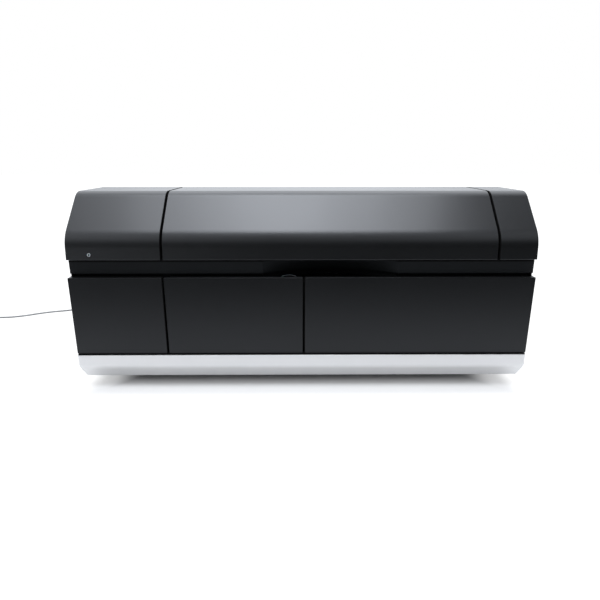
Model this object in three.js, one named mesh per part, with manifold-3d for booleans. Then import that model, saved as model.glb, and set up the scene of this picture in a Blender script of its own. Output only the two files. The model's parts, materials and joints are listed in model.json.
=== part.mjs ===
// Bench-top laser scanner that images gels and blots: a wide box on a silver base, with a sloping hood,
// a hinged lid over a glass stage, a filter bay behind the middle door and a moving scan head inside.
// Millimetres. X runs to the right, Y to the back, Z up. The origin is at the middle of the footprint,
// on the table.

import * as THREE from 'three';
import { mergeVertices } from 'three/addons/utils/BufferGeometryUtils.js';
import Module from 'manifold-3d';

const wasm = await Module();
wasm.setup();

// Overall size
const WIDTH = 990;
const DEPTH = 800;
const HEIGHT = 421.5;

// Gaps and shared sheet sizes
const SEAT = 0.3; // left where one piece rests on another
const OVERRUN = 5; // how far a cutting tool runs past the face that it cuts
const PANEL_GAP = 3.5; // between neighbouring front panels
const HOOD_GAP = 4.4; // between the lid and the fixed hood pieces
const SHEET = 3; // skins and sheet metal
const HOOD_WALL = 3.5;
const ARC_STEP = Math.PI / 18; // turn of one facet on an outline's wide arcs
const SMALL_RADIUS = 10; // arcs up to this radius take facets twice as long
const FACETS_FINE = 36;
const FACETS = 24;
const FACETS_COARSE = 16;

// Levels, measured up from the table
const TRAY_BOTTOM = 21.7;
const BEVEL_TOP = 48;
const TRAY_TOP = 76;
const PANEL_BOTTOM = 77.4;
const PANEL_TOP = 249;
const NECK_BOTTOM = 254.7;
const HOOD_BOTTOM = 286;

// Base tray and feet
const TRAY_PROUD = 6.5; // how far the tray stands out in front of the panels
const BEVEL_FRONT = 15;
const BEVEL_SIDE = 7.6;
const TRAY_CORNER = 8;
const TRAY_EDGE = 1.5;
const TRAY_FLANGE = 11; // width of the rim that turns in under the panels
const FOOT_RADIUS = 22;
const FOOT_CHAMFER = 3;
const FOOT_INSET_X = 70;
const FOOT_INSET_Y = 90;

// Front panels and their splits, measured from the middle of the machine
const DOOR_LEFT_SPLIT = -295;
const DOOR_RIGHT_SPLIT = 3.3;
const PANEL_CORNER = 1.8;
const PANEL_EDGE = 1.2;
const PANEL_SKIN = 4;
const PANEL_DEPTH = 12;
const SIDE_SETBACK = 2; // of the side panels behind the front panels

// Neck and finger recess
const NECK_SETBACK = 16.5;
const NECK_GROOVE = 10;
const RECESS_CENTRE = 60;
const RECESS_WIDTH = 288;
const RECESS_DEPTH = 48;

// Hood section, measured back from the panel faces
const LIP_SETBACK = 5.3;
const FACE_SLOPE = THREE.MathUtils.degToRad(4.8); // lean of the hood's lower front face
const KNEE_SHARE = 0.3461; // of the hood's height, from its lower edge up to the knee
const TOP_EDGE_BACK = 96.2;
const RIDGE_BACK = 253;
const REAR_DROP_SHARE = 0.4839; // of the hood's height that its top falls from the ridge to the rear
const KNEE_RADIUS = 60;
const TOP_EDGE_RADIUS = 40;
const RIDGE_RADIUS = 60;
const REAR_RADIUS = 25;
const CUT_EDGE_RADIUS = 2;

// Lid and its hinge
const LID_LEFT_SPLIT = -295.5;
const LID_RIGHT_SPLIT = 413.5;
const LID_MARGIN = 50; // from the glass back to the lid's rear edge
const SHAFT_RADIUS = 4;
const BARREL_RADIUS = 8;
const BARREL_GAP = 1; // between the hinge barrel and what it turns beside
const BARREL_INSET = 1; // how far the barrel stays below the hood's skin
const HINGE_SPREAD = 250;
const BRACKET_WIDTH = 60;
const BRACKET_BLADE = 10;
const LUG_WIDTH = 26;
const LUG_GAP = 0.6;
const LINER_LIFT = 12.5; // underside of the liner above the hood's lower edge
const LINER_LIP = 10;
const SEAL_WIDTH = 10;
const SEAL_MARGIN = 20;

// Deck, stage and glass
const DECK = 3;
const GLASS_WIDTH = 480;
const GLASS_LENGTH = 420;
const GLASS = 5;
const STAGE_CENTRE = 59;
const STAGE_FRONT = 110;
const STAGE_BORDER = 40;
const STAGE_LEDGE = 10;
const STAGE_HEIGHT = 13;
const GLASS_GAP = 1;
const OPENING_CORNER = 2; // clear of the glass's square corners

// Chassis and bulkheads
const CHASSIS_GAP = 1; // round the chassis plate inside the tray
const CHASSIS_RISE = 1; // chassis top above the tray's rim
const CHASSIS_WALL = 3;
const BULKHEAD_FRONT = 60;
const BULKHEAD_REAR_ROOM = 47;
const BULKHEAD_SETBACK = 2; // of each bulkhead outside the lid's gap

// Front frame behind the panels
const FRAME_SHELF_DROP = 8; // shelf top below the panels' top edge
const FRAME_SHELF_BACK = 72;
const FRAME_SILL = 15;
const FRAME_JAMB = 22;
const FRAME_BORDER = 4;

// Filter door's hinge
const DOOR_PIN_IN = 12;
const DOOR_PIN_BACK = 8.5;
const DOOR_PIN_RADIUS = 2;
const DOOR_BARREL = 3.5;
const TAB_THICKNESS = 3;
const TAB_LENGTH = 12;
const DOOR_LUG = 7;
const LUG_BITE = 2; // how far a lug's arm reaches into the door's skin
const DOOR_SWEEP = 3; // spare room round the door's turning edge
const CATCH_WIDTH = 10;
const CATCH_HEIGHT = 30;
const CATCH_INSET = 2; // between the catch and the door's right return

// Power button and status light
const BUTTON_X = -29;
const BUTTON_BACK = 27;
const BUTTON_RADIUS = 13.2;
const RING_RADIUS = 17;
const RING_HEIGHT = 4;
const BUTTON_LENGTH = 14;
const BUTTON_CROWN = 0.8;
const LIGHT_X = -446.4;
const LIGHT_Z = 297;
const LIGHT_RADIUS = 3.6;
const LIGHT_LENGTH = 7;
const LIGHT_PROUD = 0.5;

// Scan carriage, head and drives
const RAIL_SHELF = 34;
const RAIL_Z = 200;
const RAIL_WIDTH = 20;
const RAIL_HEIGHT = 12;
const RAIL_INSET = 9;
const RAIL_FRONT = 75;
const RAIL_MARGIN = 50; // from the glass back to the rails' rear ends
const BEAM_DEPTH = 90;
const BEAM_HEIGHT = 26;
const CARRIAGE_FRONT_ROOM = 10; // between the rails' front ends and the carriage at rest
const HEAD_WIDTH = 60;
const HEAD_DEPTH = 50;
const HEAD_HEIGHT = 22;
const HEAD_MARGIN = 31; // from the glass's left edge to the head's middle at rest
const HEAD_BACK_SHARE = 0.1;
const LENS_RADIUS = 12;
const LENS_HEIGHT = 7;
const PULLEY_RADIUS = 10;
const PULLEY_HEIGHT = 12;
const PULLEY_FLANGE = 1.5;
const PULLEY_SHAFT = 3;
const BELT = 1.5;
const BELT_WIDTH = 6;
const PULLEY_LEFT_X = -200;
const PULLEY_RIGHT_X = 350;
const BELT_LINE = 28; // behind the middle of the beam
const MOTOR_SIZE = 42;
const HEAD_MOTOR_LENGTH = 34;
const SCREW_X = -245;
const SCREW_Z = 184;
const SCREW_RADIUS = 6;
const SCREW_THREAD = 0.8;
const SCREW_PITCH_COUNT = 16;
const SCREW_FACETS = 10;
const NUT_WIDTH = 26;
const NUT_LENGTH = 40;
const SCREW_TAB = 6;
const SCREW_MOTOR_LENGTH = 50;
const SHAFT_SOCKET_SHARE = 0.6; // of the motor's length that its hollow shaft takes up

// Lasers, detector and filters
const LASER_WIDTH = 70;
const LASER_LENGTH = 110;
const LASER_HEIGHT = 62;
const LASER_X = -60;
const LASER_PITCH = 120;
const LASER_REAR_ROOM = 52;
const LASER_FIN = 4;
const LASER_FINS = 5;
const FIN_ROOT_SHARE = 0.7; // of the module's height where its fins start
const DETECTOR_FRONT = 112;
const DETECTOR_LENGTH = 130;
const DETECTOR_RADIUS = 28;
const DETECTOR_NOSE = 16;
const DETECTOR_FOOT_SHARES = [0.33, 0.8]; // where the foot starts and ends along the housing
const DETECTOR_SLOT = 2; // filter slot that the detector looks through at rest, counted from zero
const FILTER_FRONT = 60;
const FILTER_RAIL_DEPTH = 40;
const FILTER_RAIL_HEIGHT = 18;
const FILTER_RAIL_LIP = 5;
const MAGAZINE_WIDTH = 150;
const MAGAZINE_HEIGHT = 72;
const MAGAZINE_WALL = 8;
const MAGAZINE_SLOTS = 3;
const FILTER_WINDOW = 12;

// Electronics
const SUPPLY_WIDTH = 150;
const SUPPLY_LENGTH = 230;
const SUPPLY_HEIGHT = 78;
const SUPPLY_REAR_ROOM = 77;
const BOARD_FRONT = 130;
const BOARD_LENGTH = 260;
const BOARD_HEIGHT = 140;
const BOARD_LIFT = 25;
const BOARD = 2;
const BOARD_STANDOFF = 10;
const BOARD_SCREW_SHARES = [[0.1, 0.1], [0.9, 0.1], [0.1, 0.9], [0.9, 0.9]]; // along and up the board
const CHIP_SHARES = [[0.3, 0.35, 0.16], [0.6, 0.6, 0.12], [0.75, 0.3, 0.1]]; // along, up, and size
const FAN_X = -398;
const FAN_Z = 214;
const FAN_SIZE = 92;
const FAN_DEPTH = 25;
const FAN_BORE = 43;
const FAN_HUB = 17;
const FAN_TIP = 1.5;
const FAN_BLADES = 7;
const BLADE = 1.6;
const BLADE_TILT = THREE.MathUtils.degToRad(35);

// Rear panel openings and the connector plate
const GRILLE_BARS = 7;
const GRILLE_SLOT = 6;
const VENT_CENTRE = 150;
const VENT_WIDTH = 320;
const VENT_HEIGHT = 60;
const VENT_Z = 200;
const VENT_SLOTS = 12;
const PLATE_X = -400;
const PLATE_Z = 122;
const PLATE_WIDTH = 120;
const PLATE_HEIGHT = 44;
const PLATE_BODY = 18;
const PLATE_RIM = 5;
const INLET_X = 36;
const INLET_WIDTH = 25;
const INLET_HEIGHT = 17;
const INLET_DEPTH = 15;
const INLET_PIN_LENGTH = 12;
const INLET_PIN_WIDTH = 4;
const INLET_PIN = 2;
const INLET_PIN_SPREAD = 7;
const INLET_PIN_RISE = 4;
const SWITCH_WIDTH = 13;
const SWITCH_HEIGHT = 19;
const SWITCH_DEPTH = 8;
const SWITCH_TILT = THREE.MathUtils.degToRad(7);
const SWITCH_ROOM = 1.2;
const SWITCH_PROUD = 2.2;
const SOCKET_X = -38;
const PLUG_WIDTH = 12;
const PLUG_HEIGHT = 10;

// Cable
const CABLE_RADIUS = 2.5;
const CABLE_SIDES = 8;
const CABLE_STEPS = 76;
const PLUG_INSIDE = 11;
const PLUG_OUTSIDE = 22;
const BOOT_LENGTH = 24;
const BOOT_RADIUS = 4.6;
const BOOT_TIP = 3.3;
const COIL_X = -1035;
const COIL_BACK = 445;
const COIL_INNER_RADIUS = 21;
const COIL_TURNS = 5;
const COIL_STEPS = 24;
const COIL_SIDES = 6;
const CLIMB_SHARE = 0.25; // of a turn, before and after the middle, in which the coil climbs
const TURN_GAP = 0.6;
const TIE = 1.1;
const TIE_WIDTH = 12;
const TIE_ROOM = 0.5;
const TIE_CORNER = 0.8;
const TAIL_LENGTH = 40;
const TAIL_LEVEL_SHARE = 0.35; // of the tail that runs level before it comes down
const FAR_PLUG_LENGTH = 34;

// Places worked out from the sizes above
const FACE = -DEPTH / 2 + TRAY_PROUD;
const REAR = DEPTH / 2 - TRAY_PROUD;
const SIDE = WIDTH / 2;
const REACH = REAR - FACE;
const back = (distance) => FACE + distance;
const HOOD_HEIGHT = HEIGHT - HOOD_BOTTOM;
const KNEE_Z = HOOD_BOTTOM + HOOD_HEIGHT * KNEE_SHARE;
const KNEE_BACK = LIP_SETBACK + (KNEE_Z - HOOD_BOTTOM) * Math.tan(FACE_SLOPE);
const FRONT_SLOPE = Math.atan2(HEIGHT - KNEE_Z, TOP_EDGE_BACK - KNEE_BACK);
const REAR_FALL = Math.atan2(HOOD_HEIGHT * REAR_DROP_SHARE, REACH - RIDGE_BACK);
const LID_BACK = STAGE_FRONT + GLASS_LENGTH + LID_MARGIN;
const RAIL_BACK = STAGE_FRONT + GLASS_LENGTH + RAIL_MARGIN;
const BULKHEAD_BACK = REACH - BULKHEAD_REAR_ROOM;
const LASER_FRONT = REACH - LASER_REAR_ROOM - LASER_LENGTH;
const SUPPLY_FRONT = REACH - SUPPLY_REAR_ROOM - SUPPLY_LENGTH;
const CHASSIS_TOP = TRAY_TOP + CHASSIS_RISE;
const DECK_TOP = HOOD_BOTTOM - SEAT;
const DECK_BOTTOM = DECK_TOP - DECK;
const SHELF_TOP = PANEL_TOP - FRAME_SHELF_DROP;
const FRAME_FRONT = back(PANEL_DEPTH + SEAT);
const SIDE_FRONT = back(PANEL_DEPTH + SIDE_SETBACK);
const NECK_FACE = back(NECK_SETBACK);
const LID_LEFT = LID_LEFT_SPLIT + HOOD_GAP / 2;
const LID_RIGHT = LID_RIGHT_SPLIT - HOOD_GAP / 2;
const LIP_FACE = back(LIP_SETBACK);
const HINGE_Y = back(LID_BACK) + BARREL_RADIUS + BARREL_GAP;
const REAR_COVER_FRONT = HINGE_Y + BARREL_RADIUS + BARREL_GAP;
const HINGE_Z = hoodTop(HINGE_Y) - BARREL_RADIUS - BARREL_INSET;
const DOOR_LEFT = DOOR_LEFT_SPLIT + PANEL_GAP / 2;
const DOOR_RIGHT = DOOR_RIGHT_SPLIT - PANEL_GAP / 2;
const DOOR_PIN_X = DOOR_LEFT + DOOR_PIN_IN;
const DOOR_PIN_Y = back(DOOR_PIN_BACK);
const LEFT_BULKHEAD_X = LID_LEFT_SPLIT - BULKHEAD_SETBACK;
const RIGHT_BULKHEAD_X = LID_RIGHT_SPLIT + BULKHEAD_SETBACK;
const BEAM_BOTTOM = RAIL_Z + RAIL_HEIGHT + SEAT;
const BEAM_TOP = BEAM_BOTTOM + BEAM_HEIGHT;
const CARRIAGE_Y = back(RAIL_FRONT + CARRIAGE_FRONT_ROOM) + BEAM_DEPTH / 2;
const STAGE_TOP = DECK_BOTTOM - SEAT;
const STAGE_BOTTOM = STAGE_TOP - STAGE_HEIGHT;
const GLASS_TOP = DECK_BOTTOM;
const GLASS_FRONT = back(STAGE_FRONT);
const GLASS_LEFT = STAGE_CENTRE - GLASS_WIDTH / 2;
const HEAD_HOME = GLASS_LEFT + HEAD_MARGIN;

// Height of the hood's skin above the table, behind the ridge
function hoodTop(y) {
  return HEIGHT - (y - back(RIDGE_BACK)) * Math.tan(REAR_FALL);
}

const finishes = {
  hood: { color: 0x3b3d41, roughness: 0.55, metalness: 0 },
  panel: { color: 0x26272a, roughness: 0.5, metalness: 0 },
  neck: { color: 0x17181a, roughness: 0.6, metalness: 0 },
  silver: { color: 0xc9ccd0, roughness: 0.35, metalness: 0.3 },
  rubber: { color: 0x161616, roughness: 0.85, metalness: 0 },
  steel: { color: 0x8f9398, roughness: 0.4, metalness: 0.9 },
  castAluminium: { color: 0xa3a6aa, roughness: 0.5, metalness: 0.8 },
  blackMetal: { color: 0x1d1e20, roughness: 0.55, metalness: 0.4 },
  glass: { color: 0xb9c6c8, roughness: 0.05, metalness: 0 },
  lightRing: { color: 0xd6dadc, roughness: 0.3, metalness: 0 },
  board: { color: 0x1f5a38, roughness: 0.5, metalness: 0 },
  belt: { color: 0x111111, roughness: 0.8, metalness: 0 },
  laser: { color: 0x2b3f8a, roughness: 0.4, metalness: 0.4 },
  cable: { color: 0xc8cacc, roughness: 0.5, metalness: 0 },
};

const group = new THREE.Group();

function addPiece(name, geometry, finish, parent = group) {
  const mesh = new THREE.Mesh(geometry, new THREE.MeshStandardMaterial(finishes[finish]));
  mesh.name = name;
  parent.add(mesh);
  return mesh;
}

function addGroup(x, y, z, parent = group) {
  const nested = new THREE.Group();
  nested.position.set(x, y, z);
  parent.add(nested);
  return nested;
}

// Outline with some corners rounded: each corner is [u, v] or [u, v, radius]
function outline(corners) {
  const points = [];
  corners.forEach(([u, v, radius = 0], i) => {
    const corner = new THREE.Vector2(u, v);
    if (radius <= 0) {
      points.push(corner);
      return;
    }
    const last = corners[(i + corners.length - 1) % corners.length];
    const next = corners[(i + 1) % corners.length];
    const toLast = new THREE.Vector2(last[0], last[1]).sub(corner);
    const toNext = new THREE.Vector2(next[0], next[1]).sub(corner);
    const room = Math.min(toLast.length(), toNext.length()) / 2;
    toLast.normalize();
    toNext.normalize();
    const half = Math.acos(THREE.MathUtils.clamp(toLast.dot(toNext), -1, 1)) / 2;
    const tangent = Math.min(radius / Math.tan(half), room);
    const arcRadius = tangent * Math.tan(half);
    const middle = toLast.clone().add(toNext).normalize().multiplyScalar(arcRadius / Math.sin(half));
    const centre = corner.clone().add(middle);
    const start = corner.clone().addScaledVector(toLast, tangent).sub(centre);
    const turn = Math.PI - 2 * half;
    const side = Math.sign(toNext.clone().cross(toLast));
    const facet = radius > SMALL_RADIUS ? ARC_STEP : 2 * ARC_STEP;
    const steps = Math.max(1, Math.ceil(turn / facet));
    for (let step = 0; step <= steps; step += 1) {
      const spoke = start.clone().rotateAround(new THREE.Vector2(), (side * turn * step) / steps);
      points.push(centre.clone().add(spoke));
    }
  });
  return points;
}

function rectangle(u0, u1, v0, v1, radius = 0) {
  return [[u0, v0, radius], [u1, v0, radius], [u1, v1, radius], [u0, v1, radius]];
}

// Solids of one section, swept along X, Y or Z
function extrude(points, length, holes = []) {
  const shape = new THREE.Shape(points);
  holes.forEach((hole) => shape.holes.push(new THREE.Path(hole)));
  return new THREE.ExtrudeGeometry(shape, { depth: length, bevelEnabled: false, curveSegments: 1 });
}

function alongX(points, x0, x1, holes) {
  const geometry = extrude(points, x1 - x0, holes);
  const turn = new THREE.Matrix4().makeBasis(
    new THREE.Vector3(0, 1, 0),
    new THREE.Vector3(0, 0, 1),
    new THREE.Vector3(1, 0, 0),
  );
  return geometry.applyMatrix4(turn).translate(x0, 0, 0);
}

function alongY(points, y0, y1, holes) {
  return extrude(points, y1 - y0, holes).rotateX(Math.PI / 2).translate(0, y1, 0);
}

function alongZ(points, z0, z1, holes) {
  return extrude(points, z1 - z0, holes).translate(0, 0, z0);
}

function block(x0, x1, y0, y1, z0, z1) {
  const geometry = new THREE.BoxGeometry(x1 - x0, y1 - y0, z1 - z0);
  return geometry.translate((x0 + x1) / 2, (y0 + y1) / 2, (z0 + z1) / 2);
}

// Round solids; `profile` is a list of [radius, height] that starts and ends on the axis or closes on itself
function turned(profile, segments) {
  const points = profile.map(([radius, height]) => new THREE.Vector2(radius, height));
  return new THREE.LatheGeometry(points, segments).rotateX(Math.PI / 2);
}

function drum(radius, z0, z1, segments = FACETS) {
  return turned([[0, z0], [radius, z0], [radius, z1], [0, z1]], segments);
}

function circle(u, v, radius, segments = FACETS) {
  return Array.from({ length: segments }, (_, i) => {
    const angle = (2 * Math.PI * i) / segments;
    return new THREE.Vector2(u + radius * Math.cos(angle), v + radius * Math.sin(angle));
  });
}

// Closed skin over rings of points with the same count; the first and last ring are capped
function skin(rings) {
  const count = rings[0].length;
  const positions = rings.flat().flatMap((point) => [point.x, point.y, point.z]);
  const faces = [];
  for (let ring = 0; ring + 1 < rings.length; ring += 1) {
    for (let i = 0; i < count; i += 1) {
      const a = ring * count + i;
      const b = ring * count + ((i + 1) % count);
      faces.push(a, b, b + count, a, b + count, a + count);
    }
  }
  const lastRing = (rings.length - 1) * count;
  for (let i = 1; i + 1 < count; i += 1) {
    faces.push(0, i + 1, i);
    faces.push(lastRing, lastRing + i, lastRing + i + 1);
  }
  const geometry = new THREE.BufferGeometry();
  geometry.setAttribute('position', new THREE.Float32BufferAttribute(positions, 3));
  geometry.setIndex(insideOut(positions, faces) ? faces.reverse() : faces);
  return geometry;
}

// True where the faces of a closed skin point inwards, which its signed volume tells
function insideOut(positions, faces) {
  const corner = (index) => new THREE.Vector3().fromArray(positions, 3 * index);
  let volume = 0;
  for (let i = 0; i < faces.length; i += 3) {
    volume += corner(faces[i]).dot(corner(faces[i + 1]).cross(corner(faces[i + 2])));
  }
  return volume < 0;
}

// Joining and cutting
function solid(geometry) {
  const bare = geometry.clone();
  bare.deleteAttribute('normal');
  bare.deleteAttribute('uv');
  const merged = mergeVertices(bare);
  return new wasm.Manifold(new wasm.Mesh({
    numProp: 3,
    vertProperties: new Float32Array(merged.attributes.position.array),
    triVerts: new Uint32Array(merged.index.array),
  }));
}

function shape(manifold) {
  const mesh = manifold.getMesh();
  const geometry = new THREE.BufferGeometry();
  geometry.setAttribute('position', new THREE.BufferAttribute(mesh.vertProperties, 3));
  geometry.setIndex(new THREE.BufferAttribute(mesh.triVerts, 1));
  return geometry;
}

function build(added, removed = []) {
  const body = added.map(solid).reduce((whole, next) => whole.add(next));
  return shape(removed.map(solid).reduce((whole, tool) => whole.subtract(tool), body));
}

// Rounded rectangle as a ring in a plane across Y or Z
function ringAcrossZ(halfX, y0, y1, radius, z) {
  return outline(rectangle(-halfX, halfX, y0, y1, radius)).map((p) => new THREE.Vector3(p.x, p.y, z));
}

function ringAcrossY(x0, x1, z0, z1, radius, y) {
  return outline(rectangle(x0, x1, z0, z1, radius)).map((p) => new THREE.Vector3(p.x, y, p.y));
}

function baseTray() {
  const inside = SIDE - SHEET;
  const floor = TRAY_BOTTOM + SHEET;
  const half = DEPTH / 2;
  const low = half - BEVEL_FRONT;
  const corner = TRAY_CORNER - SHEET;
  const tray = skin([
    ringAcrossZ(SIDE - BEVEL_SIDE, -low, low, TRAY_CORNER, TRAY_BOTTOM),
    ringAcrossZ(SIDE, -half, half, TRAY_CORNER, BEVEL_TOP),
    ringAcrossZ(SIDE, -half, half, TRAY_CORNER, TRAY_TOP - TRAY_EDGE),
    ringAcrossZ(SIDE - TRAY_EDGE / 2, -half + TRAY_EDGE / 2, half - TRAY_EDGE / 2, TRAY_CORNER, TRAY_TOP),
    ringAcrossZ(SIDE - TRAY_FLANGE, -half + TRAY_FLANGE, half - TRAY_FLANGE, corner, TRAY_TOP),
    ringAcrossZ(SIDE - TRAY_FLANGE, -half + TRAY_FLANGE, half - TRAY_FLANGE, corner, TRAY_TOP - SHEET),
    ringAcrossZ(inside, -half + SHEET, half - SHEET, corner, TRAY_TOP - SHEET),
    ringAcrossZ(inside, -half + SHEET, half - SHEET, corner, BEVEL_TOP),
    ringAcrossZ(inside - BEVEL_SIDE, -low + SHEET, low - SHEET, corner, floor),
  ]);
  addPiece('base_tray', tray, 'silver');
}

function feet() {
  const top = TRAY_BOTTOM - SEAT;
  const places = {
    foot_front_left: [-1, -1],
    foot_front_right: [1, -1],
    foot_rear_left: [-1, 1],
    foot_rear_right: [1, 1],
  };
  Object.entries(places).forEach(([name, [sideX, sideY]]) => {
    const profile = [
      [0, 0],
      [FOOT_RADIUS - FOOT_CHAMFER, 0],
      [FOOT_RADIUS, FOOT_CHAMFER],
      [FOOT_RADIUS, top],
      [0, top],
    ];
    const foot = addPiece(name, turned(profile, FACETS), 'rubber');
    foot.position.set(sideX * (SIDE - FOOT_INSET_X), sideY * (DEPTH / 2 - FOOT_INSET_Y), 0);
  });
}

// Pressed plate with its rim turned down, standing on the tray's floor
function chassisPlate() {
  const rim = CHASSIS_GAP + SHEET;
  const bottom = TRAY_BOTTOM + SHEET + SEAT;
  const lowX = SIDE - rim - BEVEL_SIDE;
  const lowY = DEPTH / 2 - rim - BEVEL_FRONT;
  const underside = CHASSIS_TOP - CHASSIS_WALL;
  const edge = (inset, z) => ringAcrossZ(lowX - inset, -lowY + inset, lowY - inset, TRAY_CORNER - SHEET, z);
  const plate = skin([
    edge(0, CHASSIS_TOP),
    edge(0, bottom),
    edge(CHASSIS_WALL, bottom),
    edge(CHASSIS_WALL, underside),
  ]);
  addPiece('chassis_plate', plate, 'blackMetal');
}

// A front panel: a slab with soft edges and returns that reach back to the frame
function panelSkin(x0, x1) {
  const soft = PANEL_EDGE;
  const ring = (inset, y) => {
    const radius = PANEL_CORNER - inset / 2;
    return ringAcrossY(x0 + inset, x1 - inset, PANEL_BOTTOM + inset, PANEL_TOP - inset, radius, y);
  };
  return skin([
    ring(soft, FACE),
    ring(0, back(soft)),
    ring(0, back(PANEL_DEPTH)),
    ring(SHEET, back(PANEL_DEPTH)),
    ring(SHEET, back(PANEL_SKIN)),
  ]);
}

function frontPanels() {
  addPiece('left_front_panel', panelSkin(-SIDE, DOOR_LEFT_SPLIT - PANEL_GAP / 2), 'panel');
  addPiece('right_front_panel', panelSkin(DOOR_RIGHT_SPLIT + PANEL_GAP / 2, SIDE), 'panel');
}

// Heights of the frame's two hinge tabs and of the door lugs above and below each
const UPPER_TAB = SHELF_TOP - TAB_THICKNESS;
const LOWER_TAB = CHASSIS_TOP + SEAT + FRAME_SILL - TAB_THICKNESS;

function doorLug(z0) {
  const top = z0 + DOOR_LUG;
  const knuckle = drum(DOOR_BARREL, z0, top, FACETS_COARSE).translate(DOOR_PIN_X, DOOR_PIN_Y, 0);
  const arm = block(
    DOOR_PIN_X - DOOR_BARREL,
    DOOR_PIN_X + DOOR_BARREL,
    back(PANEL_SKIN - LUG_BITE),
    DOOR_PIN_Y,
    z0,
    top,
  );
  return build([knuckle, arm]);
}

function filterDoor() {
  const cutReturn = block(
    DOOR_LEFT - OVERRUN,
    DOOR_PIN_X,
    back(PANEL_SKIN),
    back(PANEL_DEPTH) + OVERRUN,
    PANEL_BOTTOM - OVERRUN,
    PANEL_TOP + OVERRUN,
  );
  const pinRoom = drum(DOOR_PIN_RADIUS + SEAT, PANEL_BOTTOM + SHEET, PANEL_TOP - SHEET, FACETS_COARSE);
  pinRoom.translate(DOOR_PIN_X, DOOR_PIN_Y, 0);
  const lugs = [
    doorLug(UPPER_TAB - SEAT - DOOR_LUG),
    doorLug(LOWER_TAB + TAB_THICKNESS + SEAT),
  ];
  const door = build([build([panelSkin(DOOR_LEFT, DOOR_RIGHT)], [cutReturn]), ...lugs], [pinRoom]);
  addPiece('filter_door', door, 'panel');

  const pin = drum(DOOR_PIN_RADIUS, PANEL_BOTTOM + SHEET + SEAT, SHELF_TOP + SEAT, FACETS_COARSE);
  addPiece('door_hinge_pin', pin, 'steel').position.set(DOOR_PIN_X, DOOR_PIN_Y, 0);

  const catchRight = DOOR_RIGHT - SHEET - SEAT - CATCH_INSET;
  const catchMiddle = (PANEL_BOTTOM + PANEL_TOP) / 2;
  const magnet = block(
    catchRight - CATCH_WIDTH,
    catchRight,
    back(PANEL_SKIN + SEAT),
    back(PANEL_DEPTH),
    catchMiddle - CATCH_HEIGHT / 2,
    catchMiddle + CATCH_HEIGHT / 2,
  );
  addPiece('door_catch', magnet, 'steel');
}

// Portal behind the front panels, with the shelf that floors the finger recess
function frontFrame() {
  const half = SIDE - SHEET - SEAT;
  const rear = FRAME_FRONT + SHEET;
  const bottom = CHASSIS_TOP + SEAT;
  const plateTop = SHELF_TOP;
  const bayTop = UPPER_TAB - FRAME_BORDER;
  const plate = block(-half, half, FRAME_FRONT, rear, bottom, plateTop);
  const shelf = block(-half, half, FRAME_FRONT, back(FRAME_SHELF_BACK), UPPER_TAB, SHELF_TOP);
  const sillBack = back(FRAME_SHELF_BACK / 2);
  const sill = block(-half, half, FRAME_FRONT, sillBack, LOWER_TAB, LOWER_TAB + TAB_THICKNESS);
  const tab = (z0) => block(
    DOOR_PIN_X - DOOR_BARREL + SEAT,
    DOOR_PIN_X + TAB_LENGTH,
    DOOR_PIN_Y - DOOR_BARREL + SEAT,
    rear,
    z0,
    z0 + TAB_THICKNESS,
  );
  const bay = block(
    DOOR_LEFT - PANEL_GAP,
    DOOR_RIGHT - FRAME_JAMB,
    FRAME_FRONT - OVERRUN,
    rear + OVERRUN,
    LOWER_TAB + TAB_THICKNESS,
    bayTop,
  );
  const sweep = Math.hypot(DOOR_PIN_IN, DOOR_PIN_BACK) + DOOR_SWEEP;
  const turningRoom = block(
    DOOR_PIN_X - sweep,
    DOOR_PIN_X - DOOR_BARREL + SEAT,
    FRAME_FRONT - OVERRUN,
    DOOR_PIN_Y + sweep,
    bottom - OVERRUN,
    SHELF_TOP + OVERRUN,
  );
  const pinHole = drum(DOOR_PIN_RADIUS + SEAT, bottom, SHELF_TOP + OVERRUN, FACETS_COARSE);
  pinHole.translate(DOOR_PIN_X, DOOR_PIN_Y, 0);
  const buttonHole = drum(BUTTON_RADIUS + SEAT, UPPER_TAB - OVERRUN, SHELF_TOP + OVERRUN);
  buttonHole.translate(BUTTON_X, back(BUTTON_BACK), 0);
  const frame = build(
    [plate, shelf, sill, tab(UPPER_TAB), tab(LOWER_TAB)],
    [bay, turningRoom, pinHole, buttonHole],
  );
  addPiece('front_frame', frame, 'blackMetal');
}

function powerButton() {
  const centre = addGroup(BUTTON_X, back(BUTTON_BACK), SHELF_TOP + SEAT);
  const inner = BUTTON_RADIUS + SEAT;
  const ring = turned([
    [inner, 0],
    [RING_RADIUS, 0],
    [RING_RADIUS, RING_HEIGHT - BUTTON_CROWN],
    [RING_RADIUS - BUTTON_CROWN, RING_HEIGHT],
    [inner, RING_HEIGHT],
    [inner, 0],
  ], FACETS_FINE);
  addPiece('power_ring', ring, 'steel', centre);
  const low = RING_HEIGHT - BUTTON_LENGTH;
  const cap = turned([
    [0, low],
    [BUTTON_RADIUS, low],
    [BUTTON_RADIUS, RING_HEIGHT - BUTTON_CROWN],
    [BUTTON_RADIUS - BUTTON_CROWN, RING_HEIGHT - BUTTON_CROWN / 4],
    [0, RING_HEIGHT - BUTTON_CROWN / 2],
  ], FACETS_FINE);
  addPiece('power_button', cap, 'panel', centre);
}

// Front edge of the neck in plan, with the finger recess as an arc; `shift` moves it straight back and
// `offset` moves it square to itself
const RECESS_RADIUS = ((RECESS_WIDTH / 2) ** 2 + RECESS_DEPTH ** 2) / (2 * RECESS_DEPTH);

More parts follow.
